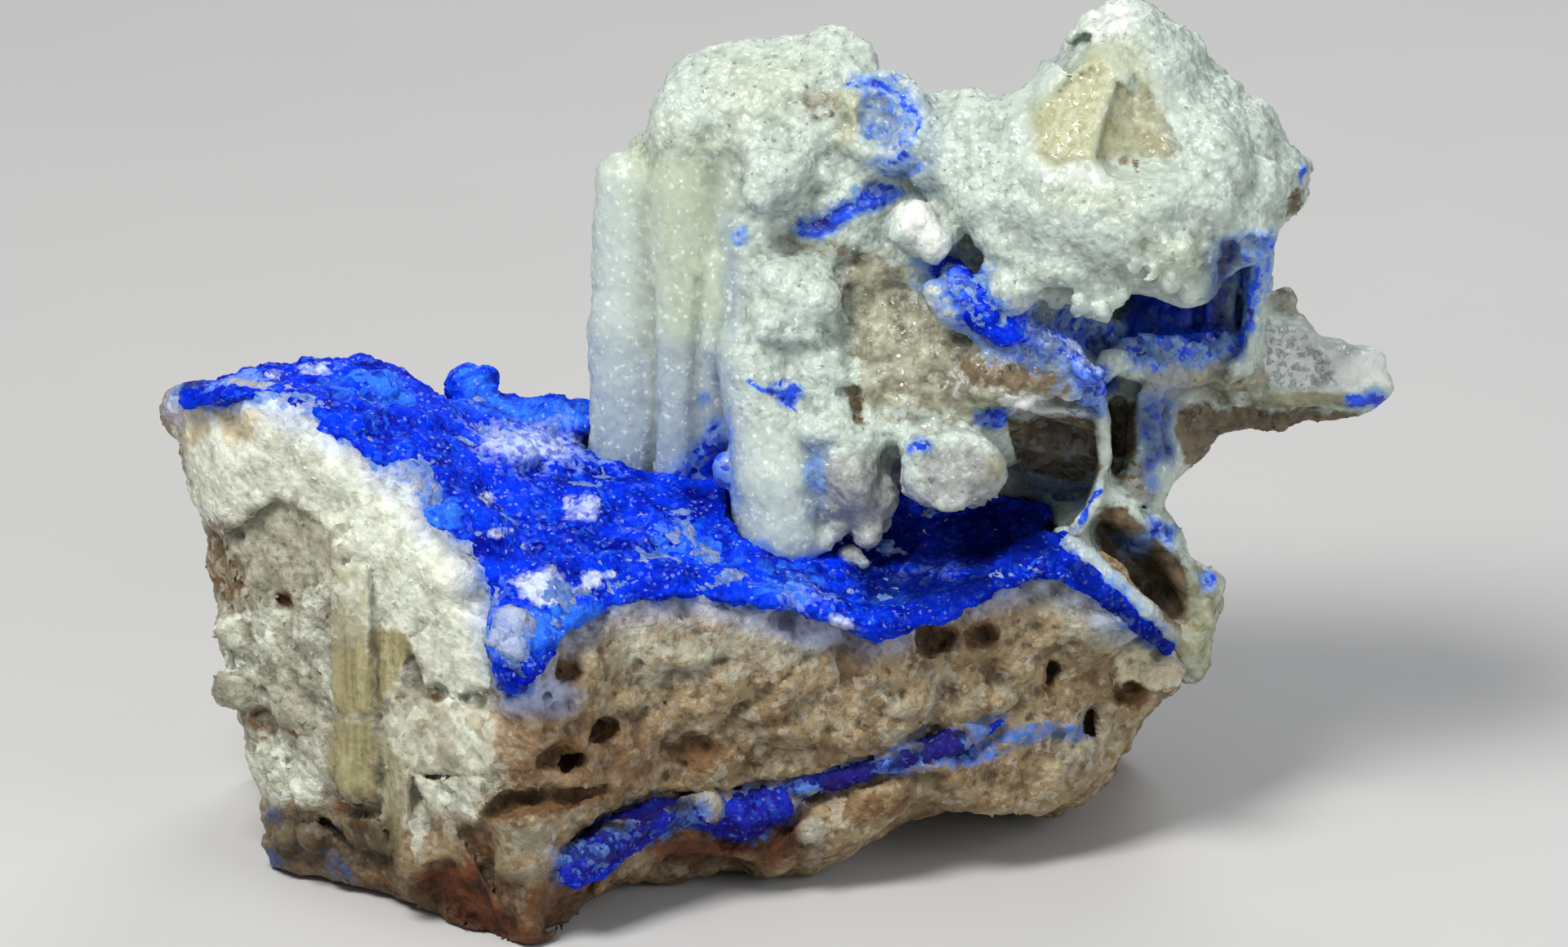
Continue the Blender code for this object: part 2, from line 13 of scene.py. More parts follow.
import bmesh
import bpy
import numpy as np
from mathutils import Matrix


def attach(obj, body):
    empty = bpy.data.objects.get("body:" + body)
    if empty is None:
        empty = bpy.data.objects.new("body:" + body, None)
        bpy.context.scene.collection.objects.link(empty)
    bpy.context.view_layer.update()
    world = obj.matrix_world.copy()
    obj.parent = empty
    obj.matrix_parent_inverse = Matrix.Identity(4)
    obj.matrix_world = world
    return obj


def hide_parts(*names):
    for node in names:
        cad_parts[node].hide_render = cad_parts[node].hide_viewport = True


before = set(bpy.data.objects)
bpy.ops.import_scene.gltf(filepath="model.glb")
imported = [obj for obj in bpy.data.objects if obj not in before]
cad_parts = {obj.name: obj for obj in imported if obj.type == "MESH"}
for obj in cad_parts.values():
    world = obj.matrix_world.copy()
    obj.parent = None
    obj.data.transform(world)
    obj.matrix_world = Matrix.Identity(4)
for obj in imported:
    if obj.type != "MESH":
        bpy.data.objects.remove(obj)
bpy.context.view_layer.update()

import openvdb
from mathutils import Vector

METRES = 0.001

# The sheet: its unit in mm, its size in units, where the model lies on it and how it is looked at
UNIT = 0.06
SHEET_WIDTH = 1920
SHEET_FOOT = 1160
SHEET_MIDDLE = 965
DEPTH_SHIFT = 24.0
SIGHT_TILT = math.radians(20)
SIN, COS = math.sin(SIGHT_TILT), math.cos(SIGHT_TILT)

# How many voxels the field of distances reaches out from the surface
BAND = 6
# The depths between which a line of sight is searched
NEAREST, FARTHEST = -28, 30
# Faces lower than this were sawn off
SAWN_BELOW = 0.15
# Room left around a flat face
FACE_ROOM = 3
# The front of the open cells slants back to the right
CELLS_LEFT, CELLS_FRONT, CELLS_SLANT = 16, -5, 0.46

# The height in which the grain fades out towards the base
BASE_FADE = 0.6
# How far painted depths wander, and over what distance
DEPTH_WARP, DEPTH_GRAIN = 1.2, 4.0
# The depths within which a dab, a line and a patch fade out
DAB_DEPTH, LINE_DEPTH, NEAR_FADE = 3.5, 2.5, 4
# The grid on which the closeness of another piece is measured
HALO_PITCH = 0.4
# A crystal is a slanted cube
CRYSTAL_SLANT = ((1, 0.2, 0.1), (0.15, 1, 0.25), (0.2, 0.1, 1))
CRYSTAL_FACES = ((0, 1, 3, 2), (4, 6, 7, 5), (0, 4, 5, 1), (2, 3, 7, 6), (0, 2, 6, 4), (1, 5, 7, 3))

# How many random numbers a table of noise holds: a power of two
TABLE_SIZE = 4096


# Places


def seen(across, down, y):
    """The point that looks to be at that place on the sheet and lies at depth y."""
    v = (SHEET_FOOT - down) * UNIT - DEPTH_SHIFT * SIN
    return np.array(((across - SHEET_MIDDLE) * UNIT, y, (v - y * SIN) / COS))


def sheet_place(x, y, z):
    """Where a point looks to be: across and down."""
    return x / UNIT + SHEET_MIDDLE, SHEET_FOOT - (z * COS + (y + DEPTH_SHIFT) * SIN) / UNIT


def on_sheet(points):
    """Where points look to be, and how far they lie along the line of sight."""
    x, y, z = points.T
    return *sheet_place(x, y, z), y * COS - z * SIN


def beside(u, v, start, end):
    """How far along the line from start to end places lie, 0 to 1, and how far off it."""
    dx, dy = end[0] - start[0], end[1] - start[1]
    share = np.clip(((u - start[0]) * dx + (v - start[1]) * dy) / (dx * dx + dy * dy), 0, 1)
    return share, np.hypot(u - start[0] - share * dx, v - start[1] - share * dy)


# Blender's data


def rows_of(items, name, width, kind=np.float64):
    """One attribute of all the items, as an array with a row for each."""
    values = np.empty(len(items) * width, kind)
    items.foreach_get(name, values)
    return values.reshape(-1, width)


def placed(name, data):
    """A new object in the scene."""
    made = bpy.data.objects.new(name, data)
    bpy.context.scene.collection.objects.link(made)
    return made


# Noise at points


def lattice(seed):
    """A table of random numbers from -1 to 1."""
    return np.random.default_rng(seed).uniform(-1, 1, TABLE_SIZE)


def hashed(cells, seed):
    """An index into a table for each whole-number cell. The factors are large primes."""
    x, y, z = cells.astype(np.int64).T
    return (x * 73856093 ^ y * 19349663 ^ z * 83492791 ^ seed * 2654435761) & (TABLE_SIZE - 1)


def noise(points, grain, seed):
    """Smooth noise from -1 to 1, with features of about that size."""
    table = lattice(seed)
    steps = points / grain
    cells = np.floor(steps)
    ease = (steps - cells) ** 2 * (3 - 2 * (steps - cells))
    total = np.zeros(len(points))
    for corner in np.ndindex(2, 2, 2):
        side = np.array(corner)
        weight = np.prod(np.where(side, ease, 1 - ease), axis=1)
        total += weight * table[hashed(cells + side, seed)]
    return total


def granules(points, size, seed):
    """How far each point lies from its granule's middle, 0 to 1, and a number for that granule."""
    tables = [lattice(seed + k) * 0.42 + 0.5 for k in range(3)]
    steps = points / size
    cells = np.floor(steps)
    nearest = np.full(len(points), 9.0)
    owner = np.zeros(len(points), np.int64)
    for step in np.ndindex(3, 3, 3):
        there = cells + np.array(step) - 1
        index = hashed(there, seed)
        spot = there + np.stack([table[index] for table in tables], axis=1)
        away = ((steps - spot) ** 2).sum(axis=1)
        closer = away < nearest
        nearest = np.where(closer, away, nearest)
        owner = np.where(closer, index, owner)
    return np.clip(np.sqrt(nearest), 0, 1), lattice(seed + 9)[owner]


# Clay


class Clay:
    """A solid as a field of distances to its surface, negative inside."""

    def __init__(self, node_name, pitch, blur=1, swell=0.0):
        self.pitch = pitch
        mesh = bpy.data.objects[node_name].data
        mesh.calc_loop_triangles()
        points = rows_of(mesh.vertices, "co", 3, np.float32) / METRES
        volume = openvdb.FloatGrid.createLevelSetFromPolygons(
            points,
            triangles=rows_of(mesh.loop_triangles, "vertices", 3, np.int32).astype(np.uint32),
            transform=openvdb.createLinearTransform(voxelSize=pitch),
            halfWidth=BAND,
        )
        self.first = np.floor(points.min(axis=0) / pitch).astype(int) - BAND
        last = np.ceil(points.max(axis=0) / pitch).astype(int) + BAND
        self.field = np.full(last - self.first, BAND * pitch, np.float32)
        volume.copyToArray(self.field, ijk=tuple(int(i) for i in self.first))
        for _ in range(blur):
            for axis in range(3):
                ahead = np.roll(self.field, 1, axis)
                behind = np.roll(self.field, -1, axis)
                self.field = (ahead + 2 * self.field + behind) / 4
        self.field -= swell

    def window(self, low, high):
        """The part of the field between two corners, and its voxels' coordinates."""
        start = np.clip(np.floor(low / self.pitch).astype(int) - self.first, 0, self.field.shape)
        end = np.clip(np.ceil(high / self.pitch).astype(int) + 1 - self.first, 0, self.field.shape)
        spans = [np.arange(a, b) for a, b in zip(start + self.first, end + self.first)]
        axes = [(span * self.pitch).astype(np.float32) for span in spans]
        part = tuple(slice(a, b) for a, b in zip(start, end))
        return part, np.meshgrid(*axes, indexing="ij", sparse=True)

    def join(self, part, shape, fillet, cut):
        """Adds a shape to the field, or cuts it away, with a fillet where the surfaces meet."""
        old = -self.field[part] if cut else self.field[part]
        blend = np.clip(0.5 + 0.5 * (old - shape) / fillet, 0, 1)
        new = old + (shape - old) * blend - fillet * blend * (1 - blend)
        self.field[part] = -new if cut else new

    def rods(self, places, radii, fillet=0.3, cut=False):
        """A chain of round-ended rods from place to place."""
        radii = np.broadcast_to(np.asarray(radii, float), len(places))
        for a, b, ra, rb in zip(places, places[1:], radii, radii[1:]):
            reach = max(ra, rb) + fillet + self.pitch
            part, (x, y, z) = self.window(np.minimum(a, b) - reach, np.maximum(a, b) + reach)
            along = b - a
            length = max(along @ along, 1e-9)
            dx, dy, dz = x - a[0], y - a[1], z - a[2]
            share = np.clip((dx * along[0] + dy * along[1] + dz * along[2]) / length, 0, 1)
            away = (dx - share * along[0]) ** 2 + (dy - share * along[1]) ** 2
            away = np.sqrt(away + (dz - share * along[2]) ** 2)
            self.join(part, away - (ra + share * (rb - ra)), fillet, cut)

    def ball(self, place, radii, fillet, cut=False):
        reach = radii + fillet + self.pitch
        part, axes = self.window(place - reach, place + reach)
        offsets = [axis - c for axis, c in zip(axes, place)]
        near = np.sqrt(sum((o / r) ** 2 for o, r in zip(offsets, radii)))
        slope = np.sqrt(sum((o / r**2) ** 2 for o, r in zip(offsets, radii))) + 1e-6
        self.join(part, near * (near - 1) / slope, fillet, cut)

    def onto(self, across, down, sink=0.0):
        """The place on the surface that is seen there, or else is nearest to it, and sink mm past."""
        depths = np.arange(NEAREST, FARTHEST, self.pitch / 3)
        line = np.stack([seen(across, down, y) for y in depths])
        cells = np.rint(line / self.pitch).astype(int) - self.first
        inside = ((cells >= 0) & (cells < self.field.shape)).all(axis=1)
        cells = np.where(inside[:, None], cells, 0)
        away = np.where(inside, self.field[tuple(cells.T)], np.inf)
        first = (away < 0).argmax() if (away < 0).any() else away.argmin()
        return seen(across, down, depths[first] + sink)

    def ridge(self, line, radii, sink, fillet=0.3):
        """A rod laid along the front, sunk by that much."""
        self.rods([self.onto(*place, sink) for place in line], radii, fillet)

    def groove(self, line, radii, sink, fillet):
        """A furrow cut into the front."""
        self.rods([self.onto(*place, sink) for place in line], radii, fillet, cut=True)

    def lump(self, across, down, wide, high, out, fillet=0.3):
        """A swelling on the front, wide and high in sheet units, that stands out by that much."""
        radii = np.array((wide, (wide + high) / 2, high)) * UNIT
        self.ball(self.onto(across, down, radii[1] - out), radii, fillet)

    def dent(self, across, down, wide, high, deep, fillet=0.3):
        """A hollow of that depth in the front."""
        radii = np.array((wide, max((wide + high) / 2, deep / UNIT * 0.6), high)) * UNIT
        self.ball(self.onto(across, down, deep - radii[1]), radii, fillet, cut=True)

    def face(self, corners, out, thick=2.5, fillet=0.08, cut=False):
        """A flat-faced block on the front, standing out by that much, or else a flat cut into it.

        The outline is convex and runs clockwise as it is seen.
        """
        corners = np.asarray(corners, float)
        places = np.array([self.onto(*corner) for corner in corners])
        middle = places.mean(axis=0)
        facing = np.linalg.svd(places - middle)[2][2]
        facing *= math.copysign(1, facing @ (0, -COS, SIN))
        part, (x, y, z) = self.window(places.min(axis=0) - FACE_ROOM, places.max(axis=0) + FACE_ROOM)
        plane = sum((axis - p) * f for axis, p, f in zip((x, y, z), middle + facing * out, facing))
        across, down = sheet_place(x, y, z)
        outline = -np.inf
        for (ax, ay), (bx, by) in zip(corners, np.roll(corners, -1, axis=0)):
            side = (across - ax) * (by - ay) - (down - ay) * (bx - ax)
            outline = np.maximum(outline, side / math.hypot(bx - ax, by - ay) * UNIT)
        block = np.maximum(-plane if cut else np.maximum(plane, -plane - thick), outline)
        self.join(part, block, fillet, cut)

    def wall(self, line, thickness, set_back, rear=7.0, fillet=0.2):
        """A wall on a line of the sheet, from the open cells' slanting front back into the depth."""
        for start, end in zip(line, line[1:]):
            x_middle = (start[0] + end[0] - 2 * SHEET_MIDDLE) / 2 * UNIT
            near = CELLS_SLANT * (x_middle - CELLS_LEFT) + CELLS_FRONT + set_back
            corners = np.array([seen(*p, y) for p in (start, end) for y in (near, rear)])
            reach = thickness + fillet + self.pitch
            part, (x, y, z) = self.window(corners.min(axis=0) - reach, corners.max(axis=0) + reach)
            ax, ay = start[0] - SHEET_MIDDLE, SHEET_FOOT - start[1]
            dx, dy = (end[0] - start[0]) * UNIT, (start[1] - end[1]) * UNIT
            px = x - ax * UNIT
            py = z * COS + (y + DEPTH_SHIFT) * SIN - ay * UNIT
            share = np.clip((px * dx + py * dy) / (dx * dx + dy * dy), 0, 1)
            away = np.hypot(px - share * dx, py - share * dy) - thickness / 2
            self.join(part, np.maximum(np.maximum(away, near - y), y - rear), fillet, cut=False)

    def cling(self, node_name, depth, fillet):
        """Grows around another piece up to that far under its surface, with a ramp at its edge."""
        other = Clay(node_name, self.pitch, swell=-depth)
        offset = other.first - self.first
        start = np.maximum(offset, 0)
        end = np.minimum(offset + other.field.shape, self.field.shape)
        part = tuple(slice(a, b) for a, b in zip(start, end))
        shape = other.field[tuple(slice(a, b) for a, b in zip(start - offset, end - offset))]
        self.join(part, shape, fillet, cut=False)

    def at(self, points):
        """The distance to the surface at each point, up to the width of the band."""
        cells = np.rint(points / self.pitch).astype(int) - self.first
        inside = ((cells >= 0) & (cells < self.field.shape)).all(axis=1)
        away = self.field[tuple(np.where(inside[:, None], cells, 0).T)]
        return np.where(inside, away, BAND * self.pitch)

    def plates(self, *plates):
        """Flat faces, each a height and its corners. One with a negative height is cut in."""
        for out, *corners in plates:
            self.face(corners, out, cut=out < 0)

    def lumps(self, *strokes):
        for stroke in strokes:
            self.lump(*stroke)

    def dents(self, *strokes):
        for stroke in strokes:
            self.dent(*stroke)

    def pits(self, count, box, sizes, seed):
        """Small holes scattered over a box of the sheet."""
        random = np.random.default_rng(seed)
        for _ in range(count):
            across, down = random.uniform(box[0], box[2]), random.uniform(box[1], box[3])
            size = random.uniform(*sizes)
            stretch = random.uniform(0.7, 1.6, 3)
            self.ball(self.onto(across, down), size * stretch, 0.15, cut=True)

    def mesh(self, name):
        """The surface as an object. The face it was sawn off at is one polygon."""
        volume = openvdb.FloatGrid(BAND * self.pitch)
        volume.copyFromArray(np.ascontiguousarray(self.field, np.float32))
        points, quads = volume.convertToQuads()
        points = (points + self.first) * self.pitch
        mesh = bpy.data.meshes.new(name)
        mesh.from_pydata((points * METRES).tolist(), [], quads.tolist())
        work = bmesh.new()
        work.from_mesh(mesh)
        base = [face for face in work.faces if max(v.co.z for v in face.verts) < SAWN_BELOW * METRES]
        if base:
            bmesh.ops.dissolve_faces(work, faces=base, use_verts=True)
        work.to_mesh(mesh)
        work.free()
        return placed(name, mesh)


class Skin:
    """A mesh's points as arrays, to move and to paint."""

    def __init__(self, made, clay, masks):
        self.mesh = made.data
        self.clay = clay
        self.read()
        self.masks = {name: np.zeros(len(self.points)) for name in masks}

    def read(self):
        self.points = rows_of(self.mesh.vertices, "co", 3) / METRES
        self.normals = rows_of(self.mesh.vertex_normals, "vector", 3)

    def write(self):
        self.mesh.vertices.foreach_set("co", (self.points * METRES).ravel())
        self.mesh.update()
        self.read()

    def push(self, heights):
        """Moves each point along its normal."""
        self.points += self.normals * heights[:, None]
        self.write()

    def broken_back(self, deep, size, seed):
        """Depths, all inward, that break up what faces away from the front."""
        hollow, own = granules(self.points, size, seed)
        return -deep * np.clip(self.normals[:, 1] * 1.5, 0, 1) * (0.6 * hollow + 0.2 + 0.2 * own)

    def off_base(self):
        """0 on the base, and 1 a little above it."""
        return np.clip(self.points[:, 2] / BASE_FADE, 0, 1)

    def scatter(self, amount, seed):
        """Moves the points about at random, so that the grid doesn't show, but keeps the base flat."""
        moves = np.random.default_rng(seed).uniform(-amount, amount, self.points.shape)
        self.points += self.off_base()[:, None] * moves
        self.write()

    def wander(self, warp, grain, seed):
        """Where the points look to be, wandering a little so that painted edges do too."""
        across, down, depth = on_sheet(self.points)
        across = across + warp * noise(self.points, grain, seed)
        down = down + warp * noise(self.points, grain, seed + 1)
        depth = depth + DEPTH_WARP * noise(self.points, DEPTH_GRAIN, seed + 2)
        self.where = across, down, depth

    def depth_of(self, place):
        """How far the surface that is seen there lies along the line of sight."""
        return on_sheet(self.clay.onto(*place)[None])[2][0]

    def dab(self, mask, across, down, wide, high, strength=1.0):
        """Paints a soft-edged oval on the front."""
        u, v, w = self.where
        centre = self.depth_of((across, down))
        behind = (w - centre) / DAB_DEPTH
        away = np.sqrt(((u - across) / wide) ** 2 + ((v - down) / high) ** 2 + behind**2)
        self.lay(mask, strength * np.clip((1.35 - away) / 0.7, 0, 1))

    def line(self, mask, places, width, strength):
        """Paints a soft-edged line on the front."""
        u, v, w = self.where
        depths = [self.depth_of(place) for place in places]
        best = np.zeros(len(u))
        for start, end, near, far in zip(places, places[1:], depths, depths[1:]):
            share, away = beside(u, v, start, end)
            away = np.hypot(away / width, (w - near - share * (far - near)) / LINE_DEPTH)
            best = np.maximum(best, np.clip(1.5 - away, 0, 1))
        self.lay(mask, strength * best)

    def patch(self, mask, corners, strength=1.0, soft=12, deep=5.0, behind=None):
        """Paints an area of the front, given by the corners of its outline.

        With behind, a place on the sheet, nothing nearer than the surface there is painted.
        """
        u, v, w = self.where
        inside = np.zeros(len(u), bool)
        away = np.full(len(u), 1e6)
        for (ax, ay), (bx, by) in zip(corners, corners[1:] + corners[:1]):
            away = np.minimum(away, beside(u, v, (ax, ay), (bx, by))[1])
            inside ^= ((ay > v) != (by > v)) & (u - ax < (bx - ax) * (v - ay) / (by - ay or 1e-6))
        farthest = max(self.depth_of(corner) for corner in corners)
        near = np.clip((farthest + deep - w) / NEAR_FADE, 0, 1)
        if behind:
            near *= np.clip(w - self.depth_of(behind) + 2, 0, 1)
        self.lay(mask, strength * near * np.clip(0.5 + np.where(inside, away, -away) / (2 * soft), 0, 1))

    def ramp(self, mask, left, top, right, bottom, strength):
        """Paints the front between left and right, stronger and stronger from top to bottom."""
        u, v, _ = self.where
        side = np.clip(np.minimum(u - left, right - u) / 24 + 0.5, 0, 1)
        self.lay(mask, strength * side * np.clip((v - top) / (bottom - top), 0, 1))

    def halo(self, mask, node_name, reach, strength):
        """Paints what lies close to another piece."""
        wandering = self.points + HALO_PITCH * noise(self.points, 1.2, 71)[:, None]
        away = Clay(node_name, HALO_PITCH).at(wandering)
        self.lay(mask, strength * np.clip(1.2 - away / reach, 0, 1))

    def lay(self, mask, values):
        self.masks[mask] = np.maximum(self.masks[mask], values)

    def paint(self, patches, dabs, lines):
        for mask, strokes in patches.items():
            for stroke in strokes:
                self.patch(mask, *stroke)
        for mask, strokes in dabs.items():
            for stroke in strokes:
                self.dab(mask, *stroke)
        for mask, strokes in lines.items():
            for places, width, strength in strokes:
                self.line(mask, places, width, strength)

    def hollowness(self, rounds):
        """How far each point lies below the points around it, in mm, after that many rounds."""
        a, b = rows_of(self.mesh.edges, "vertices", 2, np.int32).T
        count = len(self.points)
        degree = np.bincount(a, minlength=count) + np.bincount(b, minlength=count)
        smooth = self.points.copy()
        for _ in range(rounds):
            total = np.empty_like(smooth)
            for axis in range(3):
                total[:, axis] = np.bincount(a, smooth[b, axis], count)
                total[:, axis] += np.bincount(b, smooth[a, axis], count)
            smooth = total / np.maximum(degree, 1)[:, None]
        return ((smooth - self.points) * self.normals).sum(axis=1)

    # Painted shade: a mask that darkens the points lying in hollows and creases
    def paint_crease_shade(self, rounds, deep):
        self.lay("crease", np.clip(self.hollowness(rounds) / deep, 0, 1))

    def grow(self, name, material, count, sizes, weight, seed, sink):
        """Small crystals with six slanted faces, as one object, at random where the weight is high.

        They have the masks of the points where they stand.
        """
        random = np.random.default_rng(seed)
        hosts = random.choice(len(self.points), count, p=weight / weight.sum())
        turn = random.normal(size=(count, 4))
        turn /= np.linalg.norm(turn, axis=1)[:, None]
        w, x, y, z = turn.T
        rows = [
            [1 - 2 * (y * y + z * z), 2 * (x * y - z * w), 2 * (x * z + y * w)],
            [2 * (x * y + z * w), 1 - 2 * (x * x + z * z), 2 * (y * z - x * w)],
            [2 * (x * z - y * w), 2 * (y * z + x * w), 1 - 2 * (x * x + y * y)],
        ]
        turned = np.array(rows).transpose(2, 0, 1)
        corners = (np.array(list(np.ndindex(2, 2, 2))) - 0.5) @ np.array(CRYSTAL_SLANT)
        size = random.uniform(*sizes, count)[:, None, None] * random.uniform(0.6, 1.5, (count, 1, 3))
        shapes = np.einsum("nij,nkj->nki", turned, corners[None] * size)
        centres = self.points[hosts] - self.normals[hosts] * sink
        shapes += centres[:, None]
        faces = (np.arange(count)[:, None, None] * 8 + np.array(CRYSTAL_FACES)).reshape(-1, 4)
        mesh = bpy.data.meshes.new(name)
        mesh.from_pydata((shapes.reshape(-1, 3) * METRES).tolist(), [], faces.tolist())
        write_masks(mesh, {mask: np.repeat(values[hosts], 8) for mask, values in self.masks.items()})
        mesh.shade_flat()
        mesh.materials.append(material)
        return placed(name, mesh)

    def keep(self, material):
        """Writes the masks to the mesh."""
        write_masks(self.mesh, self.masks)
        self.mesh.shade_smooth()
        self.mesh.materials.append(material)


def write_masks(mesh, masks):
    """Each mask becomes a value at the mesh's points, for the materials to read."""
    for name, values in masks.items():
        layer = mesh.attributes.new(name, "FLOAT", "POINT")
        layer.data.foreach_set("value", np.clip(values, 0, 1).astype(np.float32))


# Materials

BLACK = (0.0, 0.0, 0.0)
# Faces whose random value lies above this range glint, and they are tilted farther
FEW = (0.82, 0.86)
FAR_TILT = 0.32


def opaque(colour):
    """A colour as a colour socket takes it. One that comes from a node is left alone."""
    return (*colour, 1) if isinstance(colour, tuple) else colour


class Paint:
    """A Principled material whose colour is built up layer by layer."""

    def __init__(self, name, roughness, subsurface=0.0, radius=(1.0, 1.0, 1.0), scale=0.0012):
        self.material = bpy.data.materials.new(name)
        self.material.use_nodes = True
        self.tree = self.material.node_tree
        self.shader = self.tree.nodes["Principled BSDF"]
        self.shader.inputs["Roughness"].default_value = roughness
        self.shader.inputs["Subsurface Weight"].default_value = subsurface
        self.shader.inputs["Subsurface Radius"].default_value = radius
        self.shader.inputs["Subsurface Scale"].default_value = scale
        self.shader.subsurface_method = "BURLEY"
        self.where = self.node("ShaderNodeTexCoord", {}).outputs["Object"]

    def node(self, kind, sockets, **settings):
        """A node with its settings, and its sockets set or linked."""
        made = self.tree.nodes.new(kind)
        for name, value in settings.items():
            setattr(made, name, value)
        for name, value in sockets.items():
            if isinstance(value, bpy.types.NodeSocket):
                self.tree.links.new(value, made.inputs[name])
            else:
                made.inputs[name].default_value = value
        return made

    def vector(self, operation, sockets):
        return self.node("ShaderNodeVectorMath", sockets, operation=operation).outputs[0]

    def noise(self, size, detail=3.0, rough=0.55, warp=0.0, upright=1.0):
        """Noise with features of that size, or as many times higher as upright says."""
        where = self.vector("MULTIPLY", {0: self.where, 1: (1, 1, 1 / upright)})
        sockets = {"Vector": where, "Scale": 1 / (size * METRES), "Detail": detail}
        sockets |= {"Roughness": rough, "Distortion": warp}
        return self.node("ShaderNodeTexNoise", sockets).outputs["Fac"]

    def cells(self, size, output="Color"):
        sockets = {"Vector": self.where, "Scale": 1 / (size * METRES)}
        return self.node("ShaderNodeTexVoronoi", sockets).outputs[output]

    def cell_value(self, size, channel="Red"):
        """A number from 0 to 1 for each grain of that size."""
        return self.node("ShaderNodeSeparateColor", {"Color": self.cells(size)}).outputs[channel]

    def maths(self, operation, a, b):
        return self.node("ShaderNodeMath", {0: a, 1: b}, operation=operation).outputs[0]

    def times(self, a, b):
        return self.maths("MULTIPLY", a, b)

    def plus(self, a, b):
        return self.maths("ADD", a, b)

    def minus(self, a, b):
        return self.maths("SUBTRACT", a, b)

    def spread(self, value, low, high, to_low=0.0, to_high=1.0):
        """A value's range from low to high, spread over another range and clipped to it."""
        sockets = {"Value": value, "From Min": low, "From Max": high, "To Min": to_low, "To Max": to_high}
        return self.node("ShaderNodeMapRange", sockets).outputs["Result"]

    def mask(self, name):
        return self.node("ShaderNodeAttribute", {}, attribute_name=name).outputs["Fac"]

    def edge(self, name, grain, ragged, sharp, level=0.5):
        """A painted mask with its soft edge broken up along the grains of the mineral."""
        loose = self.times(self.minus(self.cell_value(grain), 0.5), ragged)
        fine = self.times(self.minus(self.noise(grain * 2.2), 0.5), ragged)
        value = self.plus(self.plus(self.mask(name), loose), fine)
        broken = self.spread(value, level - sharp, level + sharp)
        return self.times(broken, self.spread(self.mask(name), 0.02, 0.2))

    def mix(self, under, over, share):
        sockets = {0: share, 6: opaque(under), 7: opaque(over)}
        return self.node("ShaderNodeMix", sockets, data_type="RGBA").outputs[2]

    def mottle(self, dark, light, size, detail, low, high):
        """Two colours, mixed by noise with features of that size."""
        return self.mix(dark, light, self.spread(self.noise(size, detail), low, high))

    def coat(self, over, share):
        """Lays a colour over what is there."""
        self.colour = self.mix(self.colour, over, share)

    def paint_shade(self, mask, share):
        """Lays that share of black over what the mask covers: painted shade."""
        self.coat(BLACK, self.times(self.mask(mask), share))

    def bump(self, height, depth):
        sockets = {"Height": height, "Distance": depth * METRES, "Strength": 1.0}
        return self.node("ShaderNodeBump", sockets).outputs["Normal"]

    def facets(self, size, tilt, under):
        """Tilts each little crystal face at random, and a few of them far enough to glint."""
        amount = self.glints(size, tilt, FAR_TILT)
        cell = self.vector("SUBTRACT", {0: self.cells(size), 1: (0.5, 0.5, 0.5)})
        cell = self.vector("SCALE", {0: cell, "Scale": amount})
        total = self.vector("ADD", {0: under, 1: cell})
        return self.vector("NORMALIZE", {0: total})

    def glints(self, size, usual, few):
        """One value on most crystal faces, and another on the few that glint."""
        return self.spread(self.cell_value(size * 0.8, "Blue"), *FEW, usual, few)

    def finish(self, normal=None, roughness=None):
        self.tree.links.new(self.colour, self.shader.inputs["Base Color"])
        if normal is not None:
            self.tree.links.new(normal, self.shader.inputs["Normal"])
        if roughness is not None:
            self.tree.links.new(roughness, self.shader.inputs["Roughness"])
        return self.material


